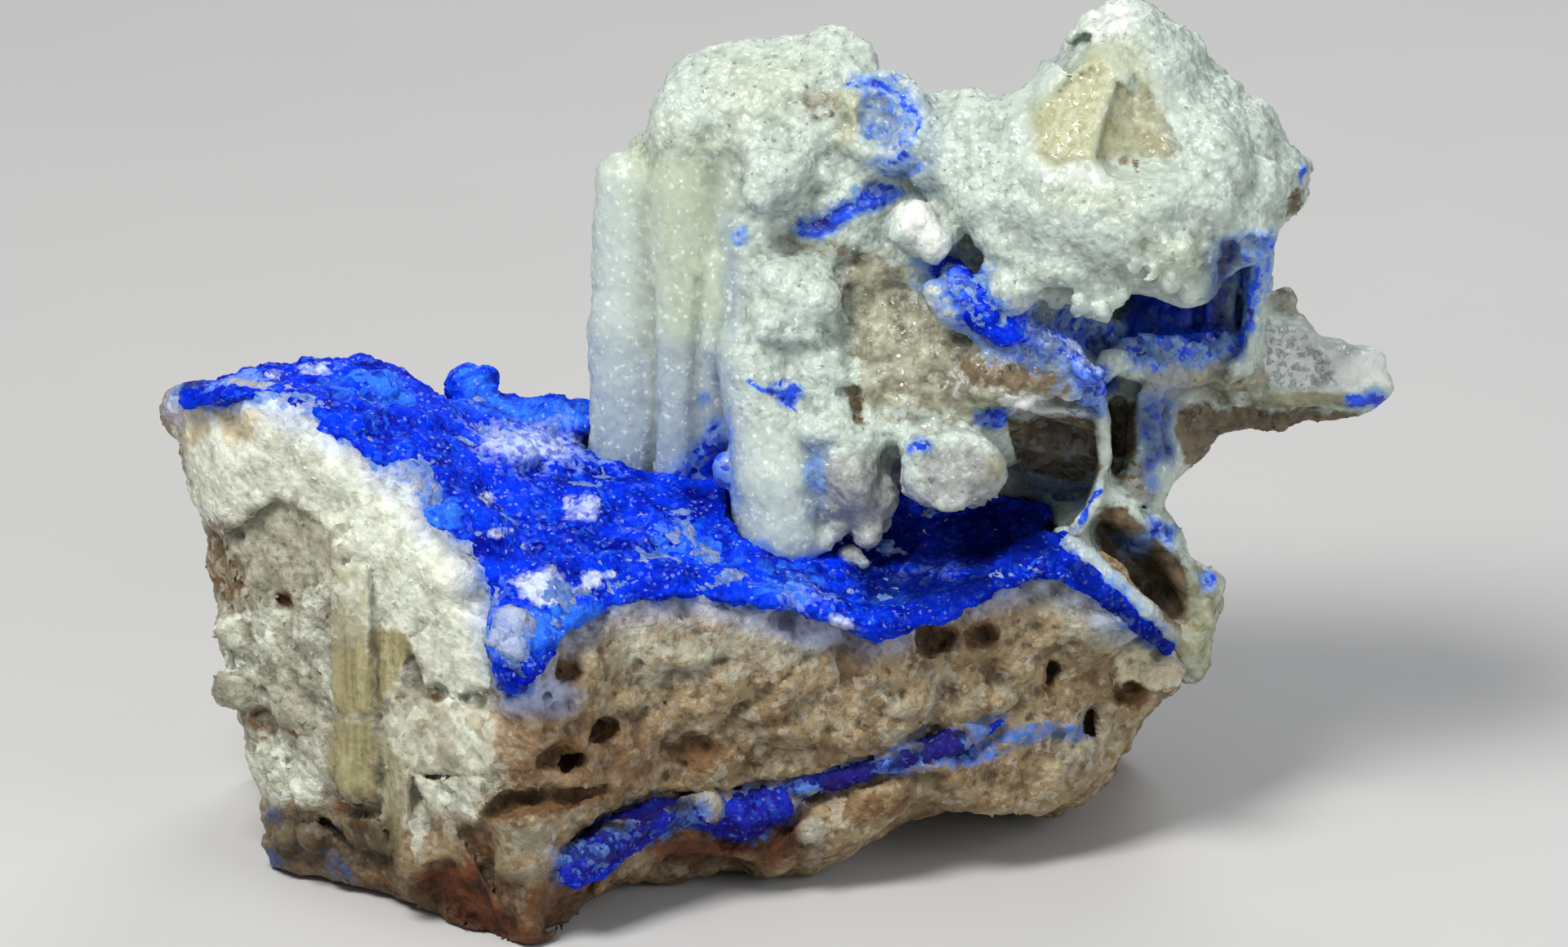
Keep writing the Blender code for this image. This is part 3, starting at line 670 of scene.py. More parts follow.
def druse_material():
    """Sugary, translucent crystals: greenish white, stained tan, brown and blue in places."""
    p = Paint("druse", 0.4, subsurface=0.45, radius=(1.0, 1.05, 1.0), scale=0.0018)
    smooth = p.spread(p.mask("smooth"), 0, 1, 1, 0.2)
    p.colour = p.mix((0.41, 0.49, 0.425), (0.55, 0.63, 0.555), p.noise(2.2, 4.0))
    p.coat((0.43, 0.49, 0.30), p.mask("green"))
    p.coat((0.24, 0.32, 0.40), p.mask("cool"))
    # Painted glints: a few tiny grains are lightened to near white
    painted_glints = p.spread(p.cell_value(0.26, "Green"), 0.92, 0.95, 0.0, 0.45)
    p.coat((0.84, 0.89, 0.86), painted_glints)
    grey = p.mix((0.24, 0.25, 0.24), (0.40, 0.42, 0.40), p.noise(1.8, 4.0))
    p.coat(grey, p.edge("grey", 0.8, 0.4, 0.3))
    tan = p.mottle((0.17, 0.155, 0.095), (0.40, 0.40, 0.29), 1.5, 4.0, 0.35, 0.62)
    p.coat(tan, p.edge("tan", 0.7, 0.5, 0.25))
    amber = p.mix((0.27, 0.26, 0.11), (0.41, 0.42, 0.22), p.noise(1.6))
    p.coat(amber, p.mask("amber"))
    p.coat((0.72, 0.75, 0.70), p.edge("white", 0.6, 0.4, 0.2))
    pores = p.times(p.spread(p.noise(0.5, 3.0, 0.6, 0.6), 0.52, 0.6), p.mask("porous"))
    p.coat((0.50, 0.54, 0.52), pores)
    brown = p.mottle((0.07, 0.048, 0.024), (0.24, 0.18, 0.10), 1.1, 4.0, 0.3, 0.7)
    p.coat(brown, p.edge("brown", 0.5, 0.4, 0.2))
    p.coat((0.16, 0.30, 0.62), p.edge("blue", 0.6, 0.4, 0.25, 0.36))
    deep = p.mottle((0.001, 0.008, 0.30), (0.004, 0.09, 0.90), 1.1, 3.0, 0.35, 0.65)
    p.coat(deep, p.edge("blue", 0.5, 0.5, 0.15, 0.72))
    # Painted shade in recesses, open cells, pits and under the spur, and in creases
    p.paint_shade("dark", 0.92)
    p.paint_shade("crease", 0.35)
    # Painted shade in the gaps between grains: the grain borders are darkened
    grain_gap_shade = p.spread(p.cells(0.7, "Distance"), 0.4, 0.8, 0.0, 0.22)
    p.coat(BLACK, p.times(grain_gap_shade, smooth))
    height = p.plus(p.cells(0.75, "Distance"), p.times(p.cells(0.35, "Distance"), 0.4))
    height = p.times(p.minus(1.0, height), smooth)
    height = p.minus(height, p.times(pores, 2.0))
    normal = p.facets(0.42, 0.24, p.bump(height, 0.17))
    return p.finish(normal, p.glints(0.42, 0.45, 0.16))


def azurite_material():
    """Fine-grained azurite: saturated blue, with lilac grains and white patches."""
    p = Paint("azurite", 0.5)
    p.shader.inputs["Specular IOR Level"].default_value = 0.03
    p.colour = p.mottle((0.001, 0.003, 0.26), (0.001, 0.035, 0.86), 2.6, 4.0, 0.35, 0.62)
    light = p.spread(p.cell_value(0.34), 0.62, 1.0)
    light = p.times(light, p.spread(p.noise(2.4), 0.36, 0.64))
    p.coat((0.010, 0.11, 0.88), light)
    specks = p.spread(p.cell_value(0.5, "Green"), 0.8, 0.9, 0.0, 0.4)
    p.coat((0.10, 0.20, 0.84), p.times(specks, p.spread(p.noise(1.6), 0.45, 0.6)))
    p.coat((0.03, 0.17, 0.88), p.edge("sky", 0.7, 0.6, 0.3))
    p.coat((0.16, 0.25, 0.76), p.edge("lilac", 0.5, 0.8, 0.3, 0.6))
    # Painted glints: a few tiny grains are lightened to pale blue
    p.coat((0.34, 0.46, 0.92), p.spread(p.cell_value(0.22, "Red"), 0.95, 0.97, 0, 0.4))
    p.coat((0.55, 0.63, 0.80), p.edge("white", 0.4, 0.6, 0.4))
    # Painted shade: darker on the seam in the recess at the foot, on the crust's shaded front and hollows,
    # and in creases
    p.coat((0.022, 0.011, 0.04), p.mask("recess_shade"))
    p.coat((0.0005, 0.002, 0.055), p.times(p.mask("dark"), 0.95))
    p.paint_shade("crease", 0.45)
    height = p.plus(p.cells(0.5, "Distance"), p.times(p.cells(0.25, "Distance"), 0.5))
    normal = p.facets(0.34, 0.35, p.bump(p.minus(1.0, height), 0.12))
    return p.finish(normal, p.glints(0.34, 0.55, 0.2))


def rock_material():
    """Porous matrix: grey and tan, cream and drusy at the upper left, red-brown at the foot."""
    p = Paint("matrix", 0.5, subsurface=0.12, radius=(1.0, 0.8, 0.6), scale=0.001)
    p.shader.inputs["Specular IOR Level"].default_value = 0.25
    p.colour = p.mottle((0.20, 0.125, 0.058), (0.46, 0.36, 0.205), 2.6, 5.0, 0.36, 0.64)
    p.coat((0.06, 0.032, 0.015), p.spread(p.noise(1.2, 4.0, 0.7), 0.6, 0.76))
    p.coat((0.50, 0.44, 0.33), p.spread(p.cell_value(0.8, "Blue"), 0.8, 0.9, 0, 0.6))
    p.coat((0.66, 0.59, 0.46), p.spread(p.cell_value(0.42), 0.88, 0.93, 0, 0.4))
    p.coat((0.09, 0.05, 0.025), p.spread(p.cell_value(0.55, "Green"), 0.86, 0.92, 0, 0.4))
    grey = p.mottle((0.29, 0.275, 0.20), (0.56, 0.55, 0.43), 2.0, 5.0, 0.36, 0.64)
    p.coat(grey, p.edge("grey", 0.8, 0.6, 0.3))
    pale = p.mottle((0.54, 0.56, 0.43), (0.80, 0.85, 0.72), 2.4, 4.0, 0.3, 0.52)
    p.coat(pale, p.edge("pale", 0.9, 0.7, 0.3))
    p.coat((0.74, 0.66, 0.44), p.edge("cream", 0.7, 0.5, 0.25))
    fibres = p.noise(0.5, 3.0, 0.6, upright=14.0)
    green = p.mix((0.26, 0.22, 0.10), (0.40, 0.37, 0.20), p.spread(fibres, 0.35, 0.65))
    p.coat(green, p.edge("green", 0.8, 0.3, 0.3))
    red = p.mottle((0.05, 0.009, 0.001), (0.22, 0.065, 0.014), 1.8, 4.0, 0.35, 0.65)
    p.coat(red, p.mask("red"))
    rust = p.mix((0.07, 0.03, 0.01), (0.30, 0.17, 0.07), p.noise(0.9))
    p.coat(rust, p.edge("brown", 0.5, 0.4, 0.2))
    p.coat((0.42, 0.54, 0.86), p.mask("wash"))
    p.coat((0.09, 0.22, 0.66), p.edge("blue", 0.6, 0.5, 0.3, 0.4))
    p.coat((0.004, 0.014, 0.22), p.edge("blue", 0.5, 0.5, 0.15, 0.78))
    # Painted shade in recesses, cracks, pits and creases, and darker towards the foot
    p.paint_shade("dark", 0.92)
    p.paint_shade("crease", 0.55)
    p.coat(BLACK, p.spread(p.cell_value(0.5, "Green"), 0, 1, 0.2, 0.0))
    height = p.plus(p.noise(0.9, 5.0, 0.7), p.times(p.cells(0.6, "Distance"), -0.5))
    height = p.times(height, p.spread(p.mask("smooth"), 0, 1, 1, 0.25))
    normal = p.facets(0.5, 0.25, p.bump(height, 0.42))
    return p.finish(normal, p.glints(0.5, 0.55, 0.18))


# The rock

ROCK_PATCHES = {
    "grey": [
        ([(222, 560), (300, 600), (420, 600), (600, 660), (620, 760), (600, 880), (620, 960), (560, 1000),
          (480, 1000), (400, 990), (330, 990), (296, 960), (240, 860), (240, 800), (220, 680)], 1, 20, 9),
        ([(600, 1010), (690, 1000), (690, 1060), (640, 1090), (605, 1060)], 0.5),
        ([(1240, 720), (1340, 690), (1400, 790), (1340, 800)], 0.8),
    ],
    "pale": [
        ([(222, 480), (330, 484), (380, 506), (450, 566), (505, 596), (520, 646), (600, 700), (600, 745),
          (560, 745), (505, 785), (455, 762), (420, 745), (420, 650), (400, 640), (370, 622), (345, 608),
          (300, 622), (255, 645), (225, 600)], 1, 14, 9),
        ([(502, 785), (560, 742), (600, 750), (602, 845), (575, 858), (548, 850), (530, 838)], 0.8, 6),
        ([(250, 760), (340, 735), (350, 790), (330, 820), (260, 830)], 0.55),
        ([(365, 725), (412, 720), (412, 870), (390, 870), (362, 800)], 0.5),
        ([(296, 900), (400, 900), (405, 955), (380, 990), (330, 1000), (300, 950)], 0.6),
        ([(468, 880), (500, 858), (560, 852), (610, 870), (620, 940), (560, 945), (510, 945)], 0.3),
        ([(515, 950), (595, 950), (600, 985), (588, 1008), (555, 1018), (530, 990)], 0.4, 8),
        ([(495, 1000), (530, 975), (545, 1000), (520, 1060), (495, 1040)], 0.3),
        ([(1380, 806), (1440, 800), (1440, 836), (1390, 842)], 0.7),
    ],
    "cream": [
        ([(268, 506), (314, 504), (314, 538), (276, 542)], 1, 8),
        ([(220, 500), (250, 493), (264, 526), (236, 545)], 0.8, 8),
        ([(1365, 796), (1440, 786), (1450, 832), (1380, 850)], 1, 8),
        ([(500, 860), (590, 856), (600, 900), (520, 920)], 0.25),
    ],
    "green": [
        ([(413, 690), (458, 690), (458, 872), (413, 866)], 0.5, 6),
        ([(413, 790), (458, 790), (458, 874), (413, 868)], 1, 6),
        ([(408, 876), (463, 880), (463, 978), (408, 970)], 1, 6),
        ([(460, 762), (502, 766), (506, 800), (476, 850), (462, 884)], 0.9, 6),
        ([(464, 890), (492, 905), (506, 950), (506, 1040), (470, 1046)], 0.5, 6),
        ([(530, 1010), (620, 1010), (660, 1080), (600, 1080)], 0.4),
    ],
    "smooth": [
        ([(413, 690), (458, 690), (458, 872), (413, 866)], 1, 6),
        ([(408, 875), (463, 880), (463, 976), (408, 968)], 0.9, 6),
        ([(460, 762), (502, 766), (505, 800), (490, 850), (462, 860)], 0.8, 6),
        ([(470, 890), (492, 905), (506, 950), (506, 1040), (470, 1046)], 0.9, 6),
        ([(470, 862), (560, 852), (616, 870), (620, 942), (510, 948), (480, 910)], 0.75, 10),
        ([(500, 785), (560, 742), (604, 750), (604, 845), (548, 852), (526, 838)], 0.8, 8),
        ([(514, 950), (598, 950), (602, 985), (588, 1008), (556, 1020)], 0.7, 8),
        ([(222, 480), (330, 484), (450, 566), (520, 646), (600, 700), (600, 745), (600, 842), (530, 838),
          (500, 780), (400, 700), (300, 622), (222, 640)], 0.6, 14, 9),
        ([(508, 942), (530, 955), (600, 1075), (642, 1150), (560, 1120), (480, 1060)], 0.6),
        ([(320, 1004), (410, 1004), (410, 1050), (320, 1060)], 0.9, 8),
        ([(418, 1000), (480, 1000), (480, 1045), (425, 1040)], 0.7, 8),
        ([(600, 1000), (690, 990), (690, 1140), (640, 1140)], 0.6),
    ],
    "brown": [
        ([(232, 640), (262, 636), (302, 712), (304, 745), (262, 745)], 0.62, 12, 9),
        ([(335, 720), (358, 716), (360, 745), (340, 755)], 0.8, 8),
        ([(600, 990), (640, 966), (690, 966), (742, 960), (745, 976), (650, 1000), (604, 1006)], 0.9, 6),
        ([(405, 975), (470, 980), (440, 1000), (400, 996)], 0.7, 8),
        ([(500, 1085), (540, 1085), (560, 1115), (520, 1105)], 0.8, 8),
    ],
    "red": [
        ([(500, 1070), (580, 1040), (660, 1150), (600, 1155), (520, 1110)], 1),
        ([(640, 1080), (760, 1060), (700, 1140), (640, 1155)], 0.7),
        ([(560, 1000), (600, 1010), (640, 1150), (600, 1100)], 0.6),
        ([(760, 1000), (980, 1000), (980, 1060), (800, 1060)], 0.9),
        ([(620, 880), (820, 880), (820, 960), (640, 960)], 0.4, 20),
    ],
    # Painted shade in the recesses at the foot, in a void and in the gaps between the prisms
    "dark": [
        ([(314, 990), (480, 1000), (500, 1064), (330, 1072)], 0.7, 12),
        ([(378, 998), (420, 1004), (424, 1030), (410, 1030), (404, 1008)], 0.9, 5),
        ([(462, 762), (469, 762), (471, 884), (464, 884)], 0.4, 4),
        ([(464, 890), (471, 890), (472, 980), (465, 980)], 0.4, 4),
        ([(610, 985), (650, 968), (700, 968), (650, 984)], 0.6, 6),
    ],
    "blue": [
        ([(214, 436), (262, 436), (262, 484), (214, 486)], 1, 10, 12),
        ([(320, 992), (345, 992), (345, 1012), (322, 1012)], 0.45, 6),
        ([(322, 1044), (350, 1046), (345, 1064), (326, 1064)], 0.6, 6),
        ([(395, 1040), (430, 1050), (428, 1082), (400, 1070)], 0.4, 6),
        ([(604, 815), (660, 812), (655, 850), (620, 856)], 0.75, 6),
    ],
}
ROCK_DABS = {
    "brown": [
        (700, 818, 18, 14), (730, 890, 30, 12), (690, 922, 30, 18), (848, 918, 36, 20), (965, 755, 20, 14),
        (882, 742, 10, 7), (1150, 775, 26, 20), (1200, 780, 26, 22), (1288, 822, 12, 20),
        (1335, 888, 10, 26), (1388, 850, 22, 18), (320, 886, 18, 18, 0.6), (540, 845, 14, 13, 0.6),
        (490, 850, 8, 6, 0.6), (366, 896, 14, 6, 0.7), (440, 1010, 16, 14, 0.8), (1100, 985, 60, 12, 0.6),
        (412, 972, 6, 6),
    ],
    "blue": [(920, 972, 30, 10, 0.6), (1170, 925, 60, 14, 0.7), (1290, 900, 80, 14, 0.5)],
    "wash": [(630, 780, 40, 50, 0.8), (660, 850, 60, 24, 0.7), (1000, 770, 80, 20, 0.6)],
    "grey": [
        (820, 790, 120, 50, 0.6), (960, 780, 70, 40, 0.5), (1150, 860, 160, 40, 0.3), (985, 1018, 24, 16),
        (870, 990, 20, 26), (1100, 905, 40, 20, 0.5), (1330, 905, 50, 40, 0.6),
    ],
    # Painted shade in pits and along the recess at the foot
    "dark": [
        (795, 985, 70, 10), (740, 1012, 40, 10), (1150, 775, 16, 12, 0.6), (1200, 778, 16, 14, 0.7),
        (1288, 822, 8, 14),
    ],
}
ROCK_LINES = {
    "blue": [
        ([(700, 1050), (760, 1030), (850, 1000)], 20, 0.85),
        ([(940, 970), (1040, 945), (1115, 930), (1180, 905)], 9, 1),
    ],
    # Painted shade along cracks
    "dark": [([(1100, 925), (1185, 900)], 5, 0.9), ([(935, 968), (985, 975)], 4, 0.9)],
}


def shape_rock():
    """The rock with its drusy rim, lumps, broken crystal faces, cracks, holes and pores."""
    clay = Clay("matrix_rock", pitch=0.36, blur=2)
    clay.cling("azurite_crust", depth=0.32, fillet=2.2)
    clay.cling("azurite_lower_seam", depth=0.12, fillet=1.2)
    edge = [(226, 500), (290, 500), (335, 500), (385, 526), (430, 572), (500, 606), (522, 660), (585, 700)]
    clay.ridge(edge, (1.9, 1.9, 1.7, 1.5, 1.5, 1.5, 1.5, 1.5), 0.5, 1.4)
    clay.lumps(
        (560, 700, 40, 40, 1.5), (300, 770, 40, 30, 0.6), (300, 840, 40, 30, 0.5), (385, 760, 26, 40, 0.4),
        (1290, 740, 60, 34, 0.8), (1410, 822, 44, 24, 0.8), (800, 790, 90, 30, 0.5),
        (960, 880, 60, 30, 0.5), (1100, 850, 60, 30, 0.5), (1200, 850, 50, 30, 0.5),
        (384, 1022, 23, 24, 1.2), (350, 1022, 20, 22, 1.1), (332, 1034, 14, 16, 0.9),
        (870, 992, 16, 24, 0.8), (985, 1018, 22, 16, 0.9), (905, 1036, 46, 12, 0.8),
        (1140, 935, 30, 14, 0.7), (790, 880, 40, 24, 0.4), (635, 775, 34, 40, 0.8),
        (645, 1045, 40, 36, 0.5), (700, 860, 30, 20, 0.5), (760, 850, 30, 20, 0.4),
        (1040, 900, 30, 20, 0.5), (940, 830, 40, 20, 0.4), (850, 860, 30, 20, 0.4),
        (1240, 820, 30, 24, 0.4), (1330, 840, 40, 24, 0.4), (1060, 820, 30, 20, 0.4),
    )
    clay.plates(
        (-0.5, (340, 610), (372, 624), (410, 648), (412, 700), (372, 730), (300, 720), (270, 660)),
        (0.5, (410, 690), (458, 690), (458, 874), (412, 866)),
        (0.2, (408, 875), (463, 880), (463, 978), (408, 970)),
        (0.25, (470, 762), (502, 766), (505, 800), (492, 850), (470, 856)),
        (0.35, (470, 890), (492, 905), (506, 950), (506, 1040), (470, 1046)),
        (0.45, (502, 785), (560, 742), (600, 755), (602, 842), (548, 850), (526, 838)),
        (0.45, (470, 880), (500, 858), (560, 852), (612, 872), (616, 940), (510, 945)),
        (0.5, (516, 952), (596, 950), (600, 985), (588, 1006), (556, 1018)),
        (0.35, (494, 1000), (528, 975), (548, 1002), (560, 1050), (500, 1058)),
        (0.3, (508, 942), (530, 955), (600, 1075), (642, 1150), (615, 1150), (560, 1060)),
        (-0.4, (560, 1010), (600, 1000), (610, 1080), (600, 1074)),
        (0.35, (418, 1000), (470, 1000), (482, 1045), (440, 1040), (420, 1025)),
        (0.3, (612, 1010), (680, 1000), (690, 1050), (650, 1086), (618, 1070)),
        (-0.4, (540, 1060), (600, 1090), (630, 1150), (560, 1120), (520, 1090)),
        (-0.35, (660, 1080), (740, 1060), (720, 1110), (670, 1140)),
    )
    clay.groove([(424, 1030), (404, 1006), (380, 1000)], (0.6, 0.5, 0.3), 0.5, 0.1)
    clay.groove([(600, 992), (630, 974), (680, 970), (742, 962)], (0.5, 0.7, 0.7, 0.5), 0.4, 0.2)
    clay.groove([(715, 1018), (760, 996), (800, 980), (850, 968)], (0.4, 0.6, 0.7, 0.5), 0.4, 0.2)
    clay.groove([(860, 905), (900, 878), (945, 842), (990, 805), (1040, 792)], 0.3, 0.0, 0.3)
    clay.dents(
        (350, 738, 16, 14, 1), (700, 817, 20, 15, 1.2), (730, 890, 28, 12, 1), (692, 924, 30, 20, 1),
        (848, 918, 36, 20, 0.9), (965, 757, 22, 14, 1), (882, 742, 9, 7, 0.7), (740, 797, 10, 5, 0.5),
        (885, 808, 14, 5, 0.6), (1150, 780, 28, 20, 1), (1200, 780, 26, 22, 1.2), (1288, 822, 11, 19, 1.4),
        (1335, 886, 10, 26, 1), (1388, 850, 24, 14, 1), (320, 886, 20, 20, 0.8), (540, 845, 15, 14, 0.8),
        (490, 850, 9, 6, 0.5), (265, 680, 20, 40, 0.5),
    )
    clay.pits(150, (650, 780, 1400, 960), sizes=(0.12, 0.3), seed=11)
    clay.pits(60, (240, 700, 400, 960), sizes=(0.12, 0.3), seed=12)
    return clay


def make_rock():
    """The rock, and the small crystals on its pale and grey parts."""
    clay = shape_rock()
    made = clay.mesh("rock")
    skin = Skin(made, clay, (*ROCK_PATCHES, "wash", "crease"))
    skin.scatter(0.06, seed=1)
    skin.wander(warp=8, grain=1.6, seed=7)
    skin.paint(ROCK_PATCHES, ROCK_DABS, ROCK_LINES)
    # Painted shade, darker and darker towards the foot
    skin.ramp("dark", 300, 960, 1000, 1180, 0.5)
    skin.ramp("red", 300, 1010, 780, 1150, 0.8)
    skin.halo("wash", "azurite_crust", reach=1.8, strength=0.6)
    skin.halo("blue", "azurite_crust", reach=0.5, strength=0.5)
    skin.halo("blue", "azurite_lower_seam", reach=0.5, strength=0.4)
    skin.masks["wash"] *= 1 - skin.masks["cream"]
    free = skin.off_base() * (1 - 0.85 * skin.masks["smooth"]) * (1 - 0.35 * skin.masks["pale"])
    crease, own = granules(skin.points, size=1.3, seed=3)
    large, large_own = granules(skin.points, size=2.6, seed=33)
    relief = 0.32 * noise(skin.points, grain=2.6, seed=4) + 0.16 * noise(skin.points, grain=1.1, seed=6)
    grain = relief + 0.1 * own - 0.25 * crease + 0.12 + 0.25 * (0.5 - large) + 0.12 * large_own
    skin.push(free * (grain + skin.broken_back(deep=1.2, size=6.0, seed=83)))
    skin.paint_crease_shade(rounds=6, deep=0.2)
    weight = np.clip(0.7 * skin.masks["pale"] + 0.5 * skin.masks["grey"] + 0.12, 0, 1) * free
    material = rock_material()
    crystals = skin.grow("rock_crystals", material, 1100, (0.15, 0.32), weight, seed=62, sink=0.08)
    skin.keep(material)
    for piece in (made, crystals):
        ride(piece, "matrix_rock")


# The stalactites

MASS_PATCHES = {
    "smooth": [
        ([(720, 200), (900, 200), (905, 620), (720, 600)], 1, 16, 9),
        ([(900, 520), (985, 520), (1010, 740), (900, 740)], 0.75),
        ([(1240, 100), (1345, 60), (1440, 110), (1440, 210), (1340, 240), (1250, 220)], 0.8),
        ([(1540, 380), (1720, 400), (1720, 520), (1540, 500)], 0.6),
        ([(1500, 280), (1580, 280), (1560, 440), (1480, 440)], 0.8),
        ([(1225, 500), (1355, 490), (1355, 630), (1230, 630)], 0.7, 12, 9),
        ([(1355, 490), (1450, 480), (1480, 640), (1360, 600)], 0.6, 12, 9),
        ([(1300, 640), (1350, 620), (1470, 720), (1470, 830), (1400, 780)], 0.7, 12, 9),
        ([(1380, 340), (1500, 340), (1500, 396), (1380, 400)], 0.7, 8, 9),
    ],
    "green": [
        ([(770, 170), (900, 170), (900, 400), (850, 440), (800, 400)], 0.6, 34),
        ([(880, 60), (1010, 80), (960, 150), (880, 150)], 0.35, 24),
        ([(1380, 290), (1490, 290), (1480, 350), (1400, 340)], 0.4, 20),
        ([(1260, 230), (1400, 230), (1380, 260), (1280, 260)], 0.4, 16),
    ],
    "cool": [
        ([(1250, 372), (1340, 385), (1400, 420), (1360, 440), (1280, 420)], 0.85, 14, 9),
        ([(1130, 110), (1146, 110), (1146, 240), (1128, 240)], 0.8),
        ([(1150, 288), (1188, 330), (1200, 360), (1160, 350)], 0.8),
        ([(885, 270), (905, 270), (910, 420), (890, 420)], 0.7),
        ([(980, 540), (1018, 540), (1018, 640), (985, 640)], 1, 8),
        ([(1475, 290), (1510, 300), (1500, 400), (1470, 390)], 0.9, 8, 9),
        ([(1385, 480), (1450, 470), (1450, 540), (1400, 620), (1380, 560)], 0.8, 10, 9),
    ],
    "grey": [
        ([(1120, 540), (1230, 550), (1230, 625), (1130, 625)], 0.8),
        ([(1010, 560), (1100, 560), (1100, 700), (1010, 700)], 0.8),
        ([(1390, 440), (1500, 430), (1500, 480), (1400, 490)], 0.8, 12, 9),
        ([(1340, 620), (1440, 660), (1470, 760), (1440, 790), (1390, 740)], 0.6, 10, 9),
    ],
    "tan": [
        ([(1030, 300), (1100, 320), (1150, 380), (1230, 430), (1340, 470), (1340, 500), (1200, 520),
          (1060, 500), (1030, 400)], 0.9, 24),
        ([(940, 290), (1040, 292), (1060, 320), (960, 312)], 0.7),
        ([(1361, 104), (1385, 118), (1376, 198), (1335, 200)], 0.85, 5),
        ([(1380, 92), (1404, 112), (1440, 190), (1425, 206), (1385, 206), (1374, 180)], 0.7, 10),
        ([(1190, 555), (1230, 550), (1230, 590), (1200, 590)], 0.7, 8),
        ([(1548, 330), (1600, 350), (1630, 400), (1560, 380)], 0.8, 8),
        ([(1430, 690), (1510, 690), (1500, 840), (1430, 850)], 0.6),
        ([(1450, 455), (1560, 450), (1560, 480), (1470, 500)], 0.7, 8, 9),
        ([(980, 110), (1040, 110), (1020, 160), (980, 150)], 0.6),
    ],
    "amber": [
        ([(1256, 150), (1300, 100), (1345, 60), (1362, 100), (1335, 200), (1290, 210), (1262, 190)], 0.85,
          10),
        ([(1361, 104), (1385, 118), (1440, 190), (1425, 206), (1335, 200)], 0.5, 6),
        ([(1300, 92), (1345, 40), (1392, 56), (1412, 112), (1362, 104)], 0.45, 14),
        ([(1024, 120), (1056, 110), (1056, 180), (1026, 190)], 0.55, 8),
        ([(1076, 168), (1096, 168), (1096, 188), (1076, 190)], 0.6, 6),
        ([(1560, 476), (1700, 486), (1700, 502), (1560, 496)], 0.5, 5),
        ([(1450, 700), (1500, 720), (1490, 830), (1440, 800)], 0.5, 12),
    ],
    "white": [
        ([(1262, 206), (1330, 200), (1352, 214), (1330, 236), (1270, 236)], 0.5, 8),
        ([(1320, 0), (1380, 0), (1390, 40), (1330, 60)], 0.6),
        ([(1080, 250), (1150, 250), (1170, 320), (1110, 310)], 0.7),
        ([(1220, 482), (1350, 488), (1350, 512), (1230, 505)], 0.8, 6, 9),
        ([(1550, 385), (1590, 395), (1625, 432), (1690, 428), (1710, 470), (1600, 482), (1556, 466)], 1, 8),
        ([(1140, 470), (1230, 440), (1240, 480), (1160, 490)], 0.5),
    ],
    "porous": [([(1550, 390), (1586, 398), (1622, 434), (1640, 470), (1590, 478), (1552, 462)], 1, 5)],
    "brown": [
        ([(1227, 509), (1345, 506), (1350, 580), (1322, 592), (1290, 592), (1250, 582)], 0.72, 6, 9),
        ([(1355, 492), (1396, 492), (1392, 560), (1360, 560)], 1, 6, 9),
        ([(1346, 625), (1372, 622), (1448, 690), (1460, 760), (1440, 770), (1400, 728), (1350, 680)], 1, 7,
          9),
        ([(1440, 492), (1560, 500), (1700, 506), (1690, 530), (1560, 540), (1480, 580), (1450, 570)], 0.9,
          7, 12),
        ([(1350, 560), (1400, 560), (1420, 610), (1370, 610)], 0.6, 8, 9),
        ([(1170, 440), (1330, 448), (1340, 478), (1180, 480)], 0.9, 12),
        ([(1030, 475), (1052, 475), (1058, 520), (1040, 520)], 0.75, 5),
        ([(1574, 225), (1600, 230), (1590, 268), (1570, 262)], 0.8, 6),
    ],
    "blue": [
        ([(966, 288), (975, 270), (1010, 262), (1032, 244), (1064, 224), (1092, 220), (1108, 240),
          (1085, 256), (1050, 264), (1030, 276), (1002, 294)], 1, 7),
        ([(1376, 320), (1486, 320), (1502, 400), (1470, 440), (1400, 452), (1374, 420)], 1, 8, 12,
          (1425, 405)),
        ([(1482, 288), (1512, 290), (1506, 400), (1480, 396)], 0.64, 10, 12),
        ([(1370, 416), (1440, 404), (1500, 398), (1545, 398), (1520, 440), (1440, 456), (1380, 450)], 0.62,
          8, 9),
        ([(1195, 344), (1240, 350), (1262, 358), (1300, 366), (1340, 384), (1376, 400), (1372, 440),
          (1290, 428), (1215, 388)], 0.62, 6, 12, (1300, 384)),
        ([(1140, 335), (1200, 360), (1240, 372), (1220, 400), (1160, 380)], 0.7, 10, 9),
        ([(1240, 388), (1330, 400), (1350, 440), (1260, 412)], 0.6, 10, 9),
        ([(1512, 288), (1572, 284), (1560, 340), (1536, 396), (1500, 440), (1506, 400)], 0.58, 8, 9),
        ([(1430, 420), (1500, 410), (1500, 440), (1440, 450)], 0.65, 8, 9),
        ([(1655, 480), (1702, 484), (1698, 500), (1650, 496)], 1, 5),
        ([(800, 585), (840, 548), (872, 508), (892, 510), (900, 640), (835, 630)], 0.74, 10, 9),
        ([(1395, 490), (1436, 480), (1440, 560), (1404, 600)], 0.6, 8, 9),
        ([(1250, 590), (1345, 596), (1330, 622), (1270, 620)], 0.4, 8, 9),
        ([(1400, 630), (1450, 640), (1440, 670), (1400, 660)], 0.75, 6),
        ([(1370, 655), (1412, 656), (1412, 676), (1380, 684)], 0.6, 6, 9),
        ([(1040, 90), (1100, 90), (1130, 130), (1110, 200), (1060, 180)], 0.5, 10),
    ],
    # Painted shade in the recesses under the head and the spur, and in the open cells
    "dark": [
        ([(1380, 340), (1452, 350), (1460, 400), (1400, 410)], 0.25, 12, 12, (1425, 405)),
        ([(1484, 292), (1510, 294), (1504, 400), (1480, 396)], 0.8, 10, 12),
        ([(1440, 496), (1700, 507), (1690, 535), (1480, 580)], 0.35, 10, 12),
        ([(1398, 490), (1436, 486), (1436, 560), (1400, 590)], 0.66, 8, 9),
        ([(1360, 498), (1392, 498), (1388, 548), (1362, 545)], 0.7, 8, 9),
    ],
}
